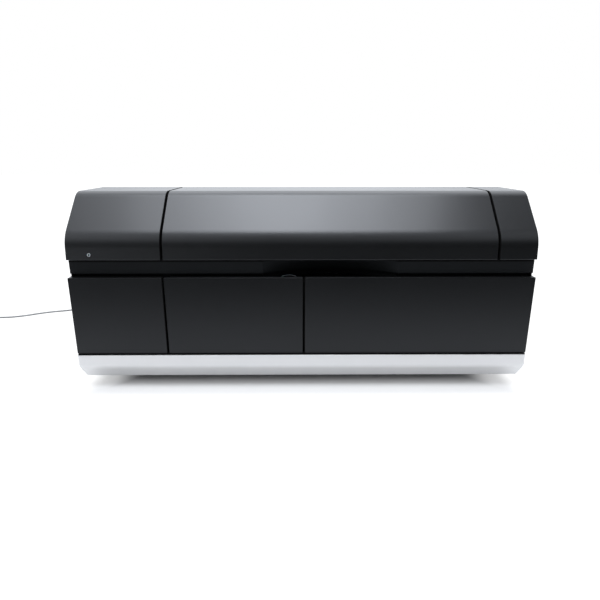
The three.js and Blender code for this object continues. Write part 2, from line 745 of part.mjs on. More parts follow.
function neckEdge(shift, offset) {
  const centreY = NECK_FACE + shift + RECESS_DEPTH - RECESS_RADIUS;
  const radius = RECESS_RADIUS + offset;
  const straight = NECK_FACE + shift + offset;
  const end = Math.acos((straight - centreY) / radius);
  const steps = Math.ceil((2 * end) / (ARC_STEP / 2));
  const points = [new THREE.Vector2(-SIDE, straight)];
  for (let step = 0; step <= steps; step += 1) {
    const angle = -end + (2 * end * step) / steps;
    points.push(new THREE.Vector2(
      RECESS_CENTRE + radius * Math.sin(angle),
      centreY + radius * Math.cos(angle),
    ));
  }
  points.push(new THREE.Vector2(SIDE, straight));
  return points;
}

function neckFascia() {
  const ribbon = (frontEdge, rearEdge, z0, z1) => alongZ([...frontEdge, ...rearEdge.reverse()], z0, z1);
  const fascia = build([
    ribbon(neckEdge(0, 0), neckEdge(0, SHEET), NECK_BOTTOM, STAGE_TOP),
    ribbon(neckEdge(0, 0), neckEdge(NECK_GROOVE, SHEET), NECK_BOTTOM, NECK_BOTTOM + SHEET),
    ribbon(neckEdge(NECK_GROOVE, 0), neckEdge(NECK_GROOVE, SHEET), SHELF_TOP + SEAT, NECK_BOTTOM + SHEET),
  ], [
    block(-SIDE - OVERRUN, -SIDE + SHEET + SEAT, NECK_FACE + SHEET, REAR, SHELF_TOP, NECK_BOTTOM + OVERRUN),
    block(SIDE - SHEET - SEAT, SIDE + OVERRUN, NECK_FACE + SHEET, REAR, SHELF_TOP, NECK_BOTTOM + OVERRUN),
  ]);
  addPiece('neck_fascia', fascia, 'neck');
}

function topDeck() {
  const plan = [...neckEdge(0, 0), new THREE.Vector2(SIDE, REAR), new THREE.Vector2(-SIDE, REAR)];
  const opening = outline(rectangle(
    GLASS_LEFT - GLASS_GAP,
    GLASS_LEFT + GLASS_WIDTH + GLASS_GAP,
    GLASS_FRONT - GLASS_GAP,
    GLASS_FRONT + GLASS_LENGTH + GLASS_GAP,
    OPENING_CORNER,
  ));
  addPiece('top_deck', alongZ(plan, DECK_BOTTOM, DECK_TOP, [opening]), 'neck');
}

function stage() {
  const frame = build([
    block(
      GLASS_LEFT - STAGE_BORDER,
      GLASS_LEFT + GLASS_WIDTH + STAGE_BORDER,
      GLASS_FRONT - STAGE_BORDER / 2,
      GLASS_FRONT + GLASS_LENGTH + STAGE_BORDER,
      STAGE_BOTTOM,
      STAGE_TOP,
    ),
  ], [
    block(
      GLASS_LEFT + STAGE_LEDGE,
      GLASS_LEFT + GLASS_WIDTH - STAGE_LEDGE,
      GLASS_FRONT + STAGE_LEDGE,
      GLASS_FRONT + GLASS_LENGTH - STAGE_LEDGE,
      STAGE_BOTTOM - OVERRUN,
      STAGE_TOP + OVERRUN,
    ),
    block(
      GLASS_LEFT - SEAT,
      GLASS_LEFT + GLASS_WIDTH + SEAT,
      GLASS_FRONT - SEAT,
      GLASS_FRONT + GLASS_LENGTH + SEAT,
      GLASS_TOP - GLASS - SEAT,
      STAGE_TOP + OVERRUN,
    ),
  ]);
  addPiece('stage_frame', frame, 'castAluminium');
  const pane = block(0, GLASS_WIDTH, 0, GLASS_LENGTH, -GLASS, 0);
  addPiece('glass_stage', pane, 'glass').position.set(GLASS_LEFT, GLASS_FRONT, GLASS_TOP);
}

// Side panels stand inside the hood's width and reach up to the deck
function sidePanels() {
  const section = outline([
    [SIDE_FRONT, PANEL_BOTTOM, PANEL_CORNER],
    [REAR, PANEL_BOTTOM, PANEL_CORNER],
    [REAR, STAGE_TOP],
    [NECK_FACE + SHEET + SEAT, STAGE_TOP],
    [NECK_FACE + SHEET + SEAT, PANEL_TOP],
    [SIDE_FRONT, PANEL_TOP],
  ]);
  addPiece('left_side_panel', alongX(section, -SIDE, -SIDE + SHEET), 'panel');
  addPiece('right_side_panel', alongX(section, SIDE - SHEET, SIDE), 'panel');
}

const grilleTool = (x0, x1, z0, z1) => block(x0, x1, REAR - SHEET - OVERRUN, REAR + OVERRUN, z0, z1);

function rearPanel() {
  const half = SIDE - SHEET - SEAT;
  const plate = block(-half, half, REAR - SHEET, REAR, CHASSIS_TOP + SEAT, STAGE_TOP);
  const openings = [
    grilleTool(
      PLATE_X - PLATE_WIDTH / 2 + PLATE_RIM,
      PLATE_X + PLATE_WIDTH / 2 - PLATE_RIM,
      PLATE_Z - PLATE_HEIGHT / 2 + PLATE_RIM,
      PLATE_Z + PLATE_HEIGHT / 2 - PLATE_RIM,
    ),
  ];
  const grillePitch = (2 * FAN_BORE) / GRILLE_BARS;
  for (let bar = 0; bar < GRILLE_BARS; bar += 1) {
    const offset = (bar - (GRILLE_BARS - 1) / 2) * grillePitch;
    const reach = Math.sqrt(FAN_BORE ** 2 - offset ** 2) - GRILLE_SLOT / 2;
    openings.push(grilleTool(
      FAN_X - reach,
      FAN_X + reach,
      FAN_Z + offset - GRILLE_SLOT / 2,
      FAN_Z + offset + GRILLE_SLOT / 2,
    ));
  }
  const ventPitch = VENT_WIDTH / VENT_SLOTS;
  for (let slot = 0; slot < VENT_SLOTS; slot += 1) {
    const x = VENT_CENTRE + (slot - (VENT_SLOTS - 1) / 2) * ventPitch;
    openings.push(grilleTool(
      x - GRILLE_SLOT / 2,
      x + GRILLE_SLOT / 2,
      VENT_Z - VENT_HEIGHT / 2,
      VENT_Z + VENT_HEIGHT / 2,
    ));
  }
  addPiece('rear_panel', build([plate], openings), 'panel');
}

// Sheet-metal walls either side of the scan bay; each carries a rail on a shelf turned inwards
function bulkheads() {
  const bottom = CHASSIS_TOP + SEAT;
  const y0 = back(BULKHEAD_FRONT);
  const y1 = back(BULKHEAD_BACK);
  const notchBack = back(FRAME_SHELF_BACK) + SEAT;
  const frontNotch = (x0, x1) => (
    block(x0, x1, y0 - OVERRUN, notchBack, UPPER_TAB - SEAT, SHELF_TOP + SEAT)
  );

  const leftInner = LEFT_BULKHEAD_X + SHEET;
  const wall = block(LEFT_BULKHEAD_X, leftInner, y0, y1, bottom, STAGE_TOP);
  const shelf = block(
    LEFT_BULKHEAD_X,
    leftInner + RAIL_SHELF,
    back(RAIL_FRONT),
    back(RAIL_BACK),
    RAIL_Z - SHEET - SEAT,
    RAIL_Z - SEAT,
  );
  const tabRight = SCREW_X + NUT_WIDTH / 2;
  const tabLow = SCREW_Z - NUT_WIDTH / 2;
  const tab = (y) => block(LEFT_BULKHEAD_X, tabRight, y, y + SCREW_TAB, tabLow, RAIL_Z - SEAT);
  const screwHole = drum(SCREW_RADIUS + SEAT, 0, back(BULKHEAD_BACK) - back(0)).rotateX(-Math.PI / 2);
  screwHole.translate(SCREW_X, back(0), SCREW_Z);
  const left = build(
    [wall, shelf, tab(back(RAIL_FRONT)), tab(back(RAIL_BACK) - SCREW_TAB)],
    [screwHole, frontNotch(LEFT_BULKHEAD_X - OVERRUN, leftInner + OVERRUN)],
  );
  addPiece('left_bulkhead', left, 'steel');

  const rightInner = RIGHT_BULKHEAD_X - SHEET;
  const right = build([
    block(rightInner, RIGHT_BULKHEAD_X, y0, y1, bottom, STAGE_TOP),
    block(
      rightInner - RAIL_SHELF,
      RIGHT_BULKHEAD_X,
      back(RAIL_FRONT),
      back(RAIL_BACK),
      RAIL_Z - SHEET - SEAT,
      RAIL_Z - SEAT,
    ),
  ], [frontNotch(rightInner - OVERRUN, RIGHT_BULKHEAD_X + OVERRUN)]);
  addPiece('right_bulkhead', right, 'steel');
}

const RAIL_LEFT_X = LEFT_BULKHEAD_X + SHEET + RAIL_INSET + RAIL_WIDTH / 2;
const RAIL_RIGHT_X = RIGHT_BULKHEAD_X - SHEET - RAIL_INSET - RAIL_WIDTH / 2;

function rails() {
  const groove = RAIL_HEIGHT / 4;
  const half = RAIL_WIDTH / 2;
  const section = outline([
    [-half, 0],
    [half, 0],
    [half, groove],
    [half - groove, RAIL_HEIGHT / 2],
    [half, RAIL_HEIGHT - groove],
    [half, RAIL_HEIGHT],
    [-half, RAIL_HEIGHT],
    [-half, RAIL_HEIGHT - groove],
    [groove - half, RAIL_HEIGHT / 2],
    [-half, groove],
  ]);
  const places = { rail_left: RAIL_LEFT_X, rail_right: RAIL_RIGHT_X };
  Object.entries(places).forEach(([name, x]) => {
    const rail = addPiece(name, alongY(section, back(RAIL_FRONT), back(RAIL_BACK)), 'steel');
    rail.position.set(x, 0, RAIL_Z);
  });
}

function scanCarriage() {
  const carriage = addGroup(0, CARRIAGE_Y, 0);
  const half = BEAM_DEPTH / 2;
  const beamLeft = RAIL_LEFT_X - RAIL_WIDTH / 2;
  const beamRight = RAIL_RIGHT_X + RAIL_WIDTH / 2;
  const beam = block(beamLeft, beamRight, -half, half, BEAM_BOTTOM, BEAM_TOP);
  const nut = block(
    SCREW_X - NUT_WIDTH / 2,
    SCREW_X + NUT_WIDTH / 2,
    -NUT_LENGTH / 2,
    NUT_LENGTH / 2,
    SCREW_Z - NUT_WIDTH / 2,
    BEAM_BOTTOM,
  );
  const nutRoom = SCREW_RADIUS + SCREW_THREAD + SEAT;
  const nutHole = drum(nutRoom, -NUT_LENGTH, NUT_LENGTH).rotateX(Math.PI / 2).translate(SCREW_X, 0, SCREW_Z);
  const shaftRoom = PULLEY_SHAFT + SEAT;
  const shaftHoles = [PULLEY_LEFT_X, PULLEY_RIGHT_X].map((x) => (
    drum(shaftRoom, BEAM_BOTTOM - OVERRUN, BEAM_TOP + OVERRUN, FACETS_COARSE).translate(x, BELT_LINE, 0)
  ));
  addPiece('scan_carriage', build([beam, nut], [nutHole, ...shaftHoles]), 'castAluminium', carriage);

  const motor = build([
    block(-MOTOR_SIZE / 2, MOTOR_SIZE / 2, -MOTOR_SIZE / 2, MOTOR_SIZE / 2, -HEAD_MOTOR_LENGTH, -SEAT),
  ], [
    drum(shaftRoom, -HEAD_MOTOR_LENGTH / 2, OVERRUN, FACETS_COARSE),
  ]);
  const motorMesh = addPiece('head_motor', motor, 'blackMetal', carriage);
  motorMesh.position.set(PULLEY_LEFT_X, BELT_LINE, BEAM_BOTTOM);

  const beltZ = BEAM_TOP + SEAT + PULLEY_HEIGHT / 2;
  const pulleys = [
    { name: 'belt_pulley_drive', x: PULLEY_LEFT_X, shaftEnd: -BEAM_HEIGHT - HEAD_MOTOR_LENGTH / 3 },
    { name: 'belt_pulley_idle', x: PULLEY_RIGHT_X, shaftEnd: -BEAM_HEIGHT / 2 },
  ];
  pulleys.forEach(({ name, x, shaftEnd }) => {
    const flange = PULLEY_RADIUS + PULLEY_FLANGE;
    const profile = [
      [0, shaftEnd],
      [PULLEY_SHAFT, shaftEnd],
      [PULLEY_SHAFT, SEAT],
      [flange, SEAT],
      [flange, SEAT + PULLEY_FLANGE],
      [PULLEY_RADIUS, SEAT + PULLEY_FLANGE],
      [PULLEY_RADIUS, PULLEY_HEIGHT - PULLEY_FLANGE],
      [flange, PULLEY_HEIGHT - PULLEY_FLANGE],
      [flange, PULLEY_HEIGHT],
      [0, PULLEY_HEIGHT],
    ];
    addPiece(name, turned(profile, FACETS_COARSE), 'steel', carriage).position.set(x, BELT_LINE, BEAM_TOP);
  });

  const inside = PULLEY_RADIUS + SEAT;
  const outside = inside + BELT;
  const loop = (radius) => outline([
    [PULLEY_LEFT_X - radius, -radius, radius],
    [PULLEY_RIGHT_X + radius, -radius, radius],
    [PULLEY_RIGHT_X + radius, radius, radius],
    [PULLEY_LEFT_X - radius, radius, radius],
  ]);
  const belt = alongZ(loop(outside), beltZ - BELT_WIDTH / 2, beltZ + BELT_WIDTH / 2, [loop(inside)]);
  addPiece('head_belt', belt, 'belt', carriage).position.set(0, BELT_LINE, 0);

  const head = addGroup(HEAD_HOME, 0, BEAM_TOP + SEAT, carriage);
  const headRear = HEAD_DEPTH * HEAD_BACK_SHARE;
  const clampReach = BELT_LINE - outside - SEAT;
  const bodyBlock = block(-HEAD_WIDTH / 2, HEAD_WIDTH / 2, headRear - HEAD_DEPTH, headRear, 0, HEAD_HEIGHT);
  const clamp = block(
    -HEAD_WIDTH / 6,
    HEAD_WIDTH / 6,
    headRear - SHEET,
    clampReach,
    PULLEY_FLANGE,
    PULLEY_HEIGHT,
  );
  const lensHole = drum(LENS_RADIUS + SEAT, HEAD_HEIGHT / 2, HEAD_HEIGHT + OVERRUN);
  lensHole.translate(0, headRear - HEAD_DEPTH / 2, 0);
  addPiece('scan_head', build([bodyBlock, clamp], [lensHole]), 'blackMetal', head);
  const lensTop = HEAD_HEIGHT + LENS_HEIGHT;
  const lens = turned([
    [0, HEAD_HEIGHT / 2 + SEAT],
    [LENS_RADIUS, HEAD_HEIGHT / 2 + SEAT],
    [LENS_RADIUS, lensTop - LENS_HEIGHT / 4],
    [LENS_RADIUS - LENS_HEIGHT / 4, lensTop],
    [LENS_RADIUS / 2, lensTop - LENS_HEIGHT / 8],
    [0, lensTop - LENS_HEIGHT / 4],
  ], FACETS);
  addPiece('objective_lens', lens, 'glass', head).position.set(0, headRear - HEAD_DEPTH / 2, 0);
}

// Drive screw with rolled ridges, and its motor behind the rear tab
function leadScrew() {
  const y0 = back(RAIL_FRONT);
  const y1 = back(RAIL_BACK) + SCREW_MOTOR_LENGTH / 2;
  const plain0 = SCREW_TAB + SEAT;
  const plain1 = back(RAIL_BACK) - SCREW_TAB - SEAT - y0;
  const pitch = (plain1 - plain0) / SCREW_PITCH_COUNT;
  const profile = [[0, 0], [SCREW_RADIUS, 0], [SCREW_RADIUS, plain0]];
  for (let ridge = 0; ridge < SCREW_PITCH_COUNT; ridge += 1) {
    profile.push([SCREW_RADIUS + SCREW_THREAD, plain0 + (ridge + 0.5) * pitch]);
    profile.push([SCREW_RADIUS, plain0 + (ridge + 1) * pitch]);
  }
  profile.push([SCREW_RADIUS, y1 - y0], [0, y1 - y0]);
  const screw = addPiece('lead_screw', turned(profile, SCREW_FACETS).rotateX(-Math.PI / 2), 'steel');
  screw.position.set(SCREW_X, y0, SCREW_Z);

  const half = MOTOR_SIZE / 2;
  const front = back(RAIL_BACK) + SEAT;
  const motor = build([
    block(SCREW_X - half, SCREW_X + half, front, front + SCREW_MOTOR_LENGTH, SCREW_Z - half, SCREW_Z + half),
  ], [
    drum(SCREW_RADIUS + SEAT, -OVERRUN, SCREW_MOTOR_LENGTH * SHAFT_SOCKET_SHARE)
      .rotateX(-Math.PI / 2)
      .translate(SCREW_X, front, SCREW_Z),
  ]);
  addPiece('screw_motor', motor, 'blackMetal');
}

const MAGAZINE_LEFT = DOOR_LEFT + FRAME_JAMB;
const SLOT_WIDTH = (MAGAZINE_WIDTH - (MAGAZINE_SLOTS + 1) * MAGAZINE_WALL) / MAGAZINE_SLOTS;
const WINDOW_Z = CHASSIS_TOP + 2 * SEAT + FILTER_RAIL_HEIGHT + MAGAZINE_HEIGHT / 2;
const slotLeft = (slot) => MAGAZINE_WALL + slot * (SLOT_WIDTH + MAGAZINE_WALL);

function lasers() {
  const bottom = CHASSIS_TOP + SEAT;
  const finPitch = LASER_LENGTH / LASER_FINS;
  ['laser_module_1', 'laser_module_2'].forEach((name, i) => {
    const fins = [];
    for (let fin = 0; fin < LASER_FINS; fin += 1) {
      const y = (fin + 0.5) * finPitch;
      fins.push(block(
        -LASER_WIDTH,
        LASER_WIDTH,
        y - LASER_FIN / 2,
        y + LASER_FIN / 2,
        LASER_HEIGHT * FIN_ROOT_SHARE,
        LASER_HEIGHT + OVERRUN,
      ));
    }
    const body = block(-LASER_WIDTH / 2, LASER_WIDTH / 2, 0, LASER_LENGTH, 0, LASER_HEIGHT);
    const nozzle = drum(LASER_WIDTH / 8, -LASER_FIN * 2, LASER_FIN, FACETS_COARSE).rotateX(-Math.PI / 2);
    nozzle.translate(0, 0, LASER_HEIGHT / 3);
    const module = addPiece(name, build([body, nozzle], fins), 'laser');
    module.position.set(LASER_X + i * LASER_PITCH, back(LASER_FRONT), bottom);
  });
}

// Light detector: a round housing on a foot, facing the filters
function detector() {
  const bottom = CHASSIS_TOP + SEAT;
  const x = MAGAZINE_LEFT + slotLeft(DETECTOR_SLOT) + SLOT_WIDTH / 2;
  const y = back(DETECTOR_FRONT);
  const length = DETECTOR_LENGTH;
  const housing = turned([
    [0, 0],
    [DETECTOR_NOSE, 0],
    [DETECTOR_NOSE, length / 6],
    [DETECTOR_RADIUS, length / 6],
    [DETECTOR_RADIUS, length],
    [0, length],
  ], FACETS).rotateX(-Math.PI / 2).translate(x, y, WINDOW_Z);
  const foot = block(
    x - DETECTOR_RADIUS / 2,
    x + DETECTOR_RADIUS / 2,
    y + length * DETECTOR_FOOT_SHARES[0],
    y + length * DETECTOR_FOOT_SHARES[1],
    bottom,
    WINDOW_Z,
  );
  addPiece('detector_1', build([housing, foot]), 'blackMetal');
}

// Sliding holder with open slots for filters, on a channel behind the door
function filterChanger() {
  const bottom = CHASSIS_TOP + SEAT;
  const y0 = back(FILTER_FRONT);
  const y1 = y0 + FILTER_RAIL_DEPTH;
  const x0 = MAGAZINE_LEFT;
  const x1 = DOOR_RIGHT - FRAME_JAMB;
  const top = bottom + FILTER_RAIL_HEIGHT;
  const channel = build([
    block(x0, x1, y0, y1, bottom, top + FILTER_RAIL_LIP),
  ], [
    block(
      x0 - OVERRUN,
      x1 + OVERRUN,
      y0 + FILTER_RAIL_LIP,
      y1 - FILTER_RAIL_LIP,
      top,
      top + FILTER_RAIL_LIP + OVERRUN,
    ),
  ]);
  addPiece('filter_rail', channel, 'steel');

  const depth = FILTER_RAIL_DEPTH - 2 * (FILTER_RAIL_LIP + SEAT);
  const tools = [];
  for (let slot = 0; slot < MAGAZINE_SLOTS; slot += 1) {
    const left = slotLeft(slot);
    tools.push(block(
      left,
      left + SLOT_WIDTH,
      -OVERRUN,
      depth - MAGAZINE_WALL,
      MAGAZINE_WALL,
      MAGAZINE_HEIGHT - MAGAZINE_WALL,
    ));
    const window = drum(FILTER_WINDOW, 0, depth + OVERRUN, FACETS_COARSE).rotateX(-Math.PI / 2);
    tools.push(window.translate(left + SLOT_WIDTH / 2, 0, MAGAZINE_HEIGHT / 2));
  }
  const magazine = build([block(0, MAGAZINE_WIDTH, 0, depth, 0, MAGAZINE_HEIGHT)], tools);
  addPiece('filter_magazine', magazine, 'castAluminium').position.set(
    x0,
    y0 + FILTER_RAIL_LIP + SEAT,
    top + SEAT,
  );
}

function electronics() {
  const bottom = CHASSIS_TOP + SEAT;
  const supplyX = (-SIDE + LEFT_BULKHEAD_X) / 2;
  const supply = block(-SUPPLY_WIDTH / 2, SUPPLY_WIDTH / 2, 0, SUPPLY_LENGTH, 0, SUPPLY_HEIGHT);
  addPiece('power_supply', supply, 'steel').position.set(supplyX, back(SUPPLY_FRONT), bottom);

  const boardRight = LEFT_BULKHEAD_X - BOARD_STANDOFF;
  const y0 = back(BOARD_FRONT);
  const z0 = bottom + BOARD_LIFT;
  const standoffs = BOARD_SCREW_SHARES.map(([alongShare, upShare]) => {
    const y = y0 + BOARD_LENGTH * alongShare;
    const z = z0 + BOARD_HEIGHT * upShare;
    const half = BOARD_STANDOFF / 3;
    return block(boardRight - BOARD, LEFT_BULKHEAD_X - SEAT, y - half, y + half, z - half, z + half);
  });
  const chips = CHIP_SHARES.map(([alongShare, upShare, sizeShare]) => {
    const y = y0 + BOARD_LENGTH * alongShare;
    const z = z0 + BOARD_HEIGHT * upShare;
    const half = (BOARD_LENGTH * sizeShare) / 2;
    const chipTop = boardRight - BOARD_STANDOFF;
    return block(chipTop, boardRight - BOARD / 2, y - half, y + half, z - half, z + half);
  });
  const sheet = block(boardRight - BOARD, boardRight, y0, y0 + BOARD_LENGTH, z0, z0 + BOARD_HEIGHT);
  addPiece('control_board', build([sheet, ...standoffs, ...chips]), 'board');
}

function fan() {
  const rear = REAR - SHEET - SEAT;
  const front = rear - FAN_DEPTH;
  const half = FAN_SIZE / 2;
  const square = outline(rectangle(FAN_X - half, FAN_X + half, FAN_Z - half, FAN_Z + half, PANEL_CORNER));
  const ring = alongY(square, front, rear, [circle(FAN_X, FAN_Z, FAN_BORE, FACETS_FINE)]);
  const strut = (x, z) => block(FAN_X - x, FAN_X + x, front, front + SHEET, FAN_Z - z, FAN_Z + z);
  const boss = drum(FAN_HUB, 0, SHEET).rotateX(-Math.PI / 2).translate(FAN_X, front, FAN_Z);
  const reach = FAN_BORE + SHEET / 3;
  addPiece('fan_frame', build([ring, strut(reach, SHEET), strut(SHEET, reach), boss]), 'blackMetal');

  const hubLength = FAN_DEPTH - SHEET - 2 * SEAT;
  const hub = drum(FAN_HUB, 0, hubLength).rotateX(-Math.PI / 2);
  const blades = Array.from({ length: FAN_BLADES }, (_, i) => {
    const radius = FAN_BORE - FAN_TIP;
    const blade = block(FAN_HUB - SHEET, radius, -BLADE / 2, BLADE / 2, -hubLength / 2, hubLength / 2);
    blade.rotateX(Math.PI / 2 - BLADE_TILT).translate(0, hubLength / 2, 0);
    return blade.rotateY((2 * Math.PI * i) / FAN_BLADES);
  });
  const rotor = addPiece('fan_rotor', build([hub, ...blades]), 'blackMetal');
  rotor.position.set(FAN_X, front + SHEET + SEAT, FAN_Z);
}

// Plate on the rear panel with the mains inlet, the window of the mains switch and the data socket
function connectorPlate() {
  const plate = addGroup(PLATE_X, REAR, PLATE_Z);
  const rim = block(
    -PLATE_WIDTH / 2,
    PLATE_WIDTH / 2,
    SEAT,
    SEAT + SHEET,
    -PLATE_HEIGHT / 2,
    PLATE_HEIGHT / 2,
  );
  const bodyX = PLATE_WIDTH / 2 - PLATE_RIM - SEAT;
  const bodyZ = PLATE_HEIGHT / 2 - PLATE_RIM - SEAT;
  const body = block(-bodyX, bodyX, -PLATE_BODY, SEAT + SHEET, -bodyZ, bodyZ);
  const outside = SHEET + SEAT;
  const inlet = block(
    INLET_X - INLET_WIDTH / 2,
    INLET_X + INLET_WIDTH / 2,
    outside - INLET_DEPTH,
    outside + OVERRUN,
    -INLET_HEIGHT / 2,
    INLET_HEIGHT / 2,
  );
  const switchWindow = block(
    -SWITCH_WIDTH / 2 - SEAT,
    SWITCH_WIDTH / 2 + SEAT,
    outside - SWITCH_DEPTH - SWITCH_ROOM * 2,
    outside + OVERRUN,
    -SWITCH_HEIGHT / 2 - SWITCH_ROOM,
    SWITCH_HEIGHT / 2 + SWITCH_ROOM,
  );
  const socket = block(
    SOCKET_X - PLUG_WIDTH / 2 - SEAT,
    SOCKET_X + PLUG_WIDTH / 2 + SEAT,
    outside - PLUG_INSIDE - SEAT,
    outside + OVERRUN,
    -PLUG_HEIGHT / 2 - SEAT,
    PLUG_HEIGHT / 2 + SEAT,
  );
  const pin = (x, z) => block(
    INLET_X + x - INLET_PIN / 2,
    INLET_X + x + INLET_PIN / 2,
    outside - INLET_DEPTH - SHEET / 3,
    outside - INLET_DEPTH + INLET_PIN_LENGTH,
    z - INLET_PIN_WIDTH / 2,
    z + INLET_PIN_WIDTH / 2,
  );
  const pins = [
    pin(-INLET_PIN_SPREAD, -INLET_PIN_RISE),
    pin(INLET_PIN_SPREAD, -INLET_PIN_RISE),
    pin(0, INLET_PIN_RISE),
  ];
  const shell = build([rim, body], [inlet, switchWindow, socket]);
  addPiece('connector_plate', build([shell, ...pins]), 'rubber', plate);

  // The rocker's axle is across the window; at rest its lower half is pressed in
  const half = SWITCH_HEIGHT / 2;
  const rocker = alongX(outline([
    [-SWITCH_DEPTH, -half / 3],
    [0, -half],
    [SWITCH_PROUD, -half],
    [SWITCH_PROUD - SWITCH_ROOM, 0],
    [SWITCH_PROUD, half],
    [0, half],
    [-SWITCH_DEPTH, half / 3],
  ]), -SWITCH_WIDTH / 2, SWITCH_WIDTH / 2);
  const rockerMesh = addPiece('mains_switch', rocker, 'panel', plate);
  rockerMesh.position.set(0, outside - SWITCH_ROOM, 0);
  rockerMesh.rotation.set(SWITCH_TILT, 0, 0);
}

// Hood section from `y0` back to `y1`; the front end leans as the hood's face where it starts at the lip
function hoodSection(y0, y1, floor, inset = 0) {
  const corners = [];
  const lean = Math.tan(FACE_SLOPE);
  const rise = Math.tan(FRONT_SLOPE);
  const top = HEIGHT - inset;
  const faceShift = inset / Math.cos(FACE_SLOPE);
  const slopeShift = inset / Math.sin(FRONT_SLOPE);
  const fallShift = inset / Math.cos(REAR_FALL);
  const skinTop = (y) => hoodTop(y) - fallShift;
  const shrink = (radius) => Math.max(radius - inset, 0);
  if (y0 <= LIP_FACE) {
    const faceAt = (z) => LIP_FACE + faceShift + (z - HOOD_BOTTOM) * lean;
    const slopeStart = back(TOP_EDGE_BACK) + slopeShift - HEIGHT / rise;
    const kneeZ = (faceAt(0) - slopeStart) / (1 / rise - lean);
    corners.push([faceAt(floor), floor]);
    corners.push([faceAt(kneeZ), kneeZ, shrink(KNEE_RADIUS)]);
    corners.push([slopeStart + top / rise, top, shrink(TOP_EDGE_RADIUS)]);
    corners.push([back(RIDGE_BACK) - (fallShift - inset) / Math.tan(REAR_FALL), top, shrink(RIDGE_RADIUS)]);
  } else {
    corners.push([y0 + inset, floor]);
    corners.push([y0 + inset, skinTop(y0 + inset), shrink(CUT_EDGE_RADIUS)]);
  }
  const endRadius = y1 === REAR ? REAR_RADIUS : CUT_EDGE_RADIUS;
  corners.push([y1 - inset, skinTop(y1 - inset), shrink(endRadius)]);
  corners.push([y1 - inset, floor]);
  return outline(corners);
}

function hoodShell(x0, x1, y0, y1) {
  const outer = alongX(hoodSection(y0, y1, HOOD_BOTTOM), x0, x1);
  const inner = alongX(
    hoodSection(y0, y1, HOOD_BOTTOM - OVERRUN, HOOD_WALL),
    x0 + HOOD_WALL,
    x1 - HOOD_WALL,
  );
  return build([outer], [inner]);
}

function hoodCovers() {
  const leftInner = LID_LEFT_SPLIT - HOOD_GAP / 2;
  const rightInner = LID_RIGHT_SPLIT + HOOD_GAP / 2;
  const lightHole = drum(LIGHT_RADIUS + SEAT, -LIGHT_LENGTH * 2, LIGHT_LENGTH * 2);
  lightHole.rotateX(Math.PI / 2).translate(LIGHT_X, LIP_FACE, LIGHT_Z);
  addPiece('left_hood_cover', build([hoodShell(-SIDE, leftInner, LIP_FACE, REAR)], [lightHole]), 'hood');
  addPiece('right_hood_cover', hoodShell(rightInner, SIDE, LIP_FACE, REAR), 'hood');
  addPiece('rear_hood_cover', hoodShell(LID_LEFT, LID_RIGHT, REAR_COVER_FRONT, REAR), 'hood');

  const lightFace = LIP_FACE + (LIGHT_Z - HOOD_BOTTOM) * Math.tan(FACE_SLOPE) - LIGHT_PROUD;
  const light = drum(LIGHT_RADIUS, 0, LIGHT_LENGTH).rotateX(-Math.PI / 2);
  addPiece('status_light', light, 'lightRing').position.set(LIGHT_X, lightFace, LIGHT_Z);
}

const BRACKET_PLACES = {
  lid_hinge_left: STAGE_CENTRE - HINGE_SPREAD,
  lid_hinge_right: STAGE_CENTRE + HINGE_SPREAD,
};

function barrel(x0, x1) {
  return alongX(circle(HINGE_Y, HINGE_Z, BARREL_RADIUS, FACETS_COARSE), x0, x1);
}

function shaftBore(x0, x1) {
  return alongX(circle(HINGE_Y, HINGE_Z, SHAFT_RADIUS + SEAT, FACETS_COARSE), x0 - OVERRUN, x1 + OVERRUN);
}

function lid() {
  const shell = hoodShell(LID_LEFT, LID_RIGHT, LIP_FACE, back(LID_BACK));
  const added = [shell];
  const bores = [];
  Object.values(BRACKET_PLACES).forEach((x) => {
    [-1, 1].forEach((side) => {
      const near = x + side * (BRACKET_WIDTH / 2 + LUG_GAP);
      const far = near + side * LUG_WIDTH;
      const x0 = Math.min(near, far);
      const x1 = Math.max(near, far);
      added.push(barrel(x0, x1));
      added.push(block(
        x0,
        x1,
        back(LID_BACK) - HOOD_WALL / 2,
        HINGE_Y,
        HINGE_Z - BARREL_RADIUS,
        HINGE_Z + BARREL_RADIUS / 2,
      ));
      bores.push(shaftBore(x0, x1));
    });
  });
  addPiece('lid_shell', build(added, bores), 'hood');

  const linerZ = HOOD_BOTTOM + LINER_LIFT;
  const inset = HOOD_WALL + SEAT;
  const frontInset = HOOD_WALL / Math.cos(FACE_SLOPE) + SEAT;
  const x0 = LID_LEFT + inset;
  const x1 = LID_RIGHT - inset;
  const lean = (z) => (z - HOOD_BOTTOM) * Math.tan(FACE_SLOPE);
  const y0 = LIP_FACE + frontInset + lean(linerZ + LINER_LIP);
  const y1 = back(LID_BACK) - inset;
  const ring = (gap, z) => (
    outline(rectangle(x0 + gap, x1 - gap, y0 + gap, y1 - gap, PANEL_CORNER)).map((p) => (
      new THREE.Vector3(p.x, p.y, z)
    ))
  );
  const liner = skin([
    ring(0, linerZ),
    ring(0, linerZ + LINER_LIP),
    ring(SHEET, linerZ + LINER_LIP),
    ring(SHEET, linerZ + SHEET),
  ]);
  addPiece('lid_liner', liner, 'neck');

  const sealLoop = (margin) => outline(rectangle(
    GLASS_LEFT - margin,
    GLASS_LEFT + GLASS_WIDTH + margin,
    GLASS_FRONT - margin,
    GLASS_FRONT + GLASS_LENGTH + margin,
    TRAY_CORNER,
  ));
  const seal = alongZ(
    sealLoop(SEAL_MARGIN + SEAL_WIDTH),
    DECK_TOP + SEAT,
    linerZ - SEAT,
    [sealLoop(SEAL_MARGIN)],
  );
  addPiece('lid_seal', seal, 'rubber');
}

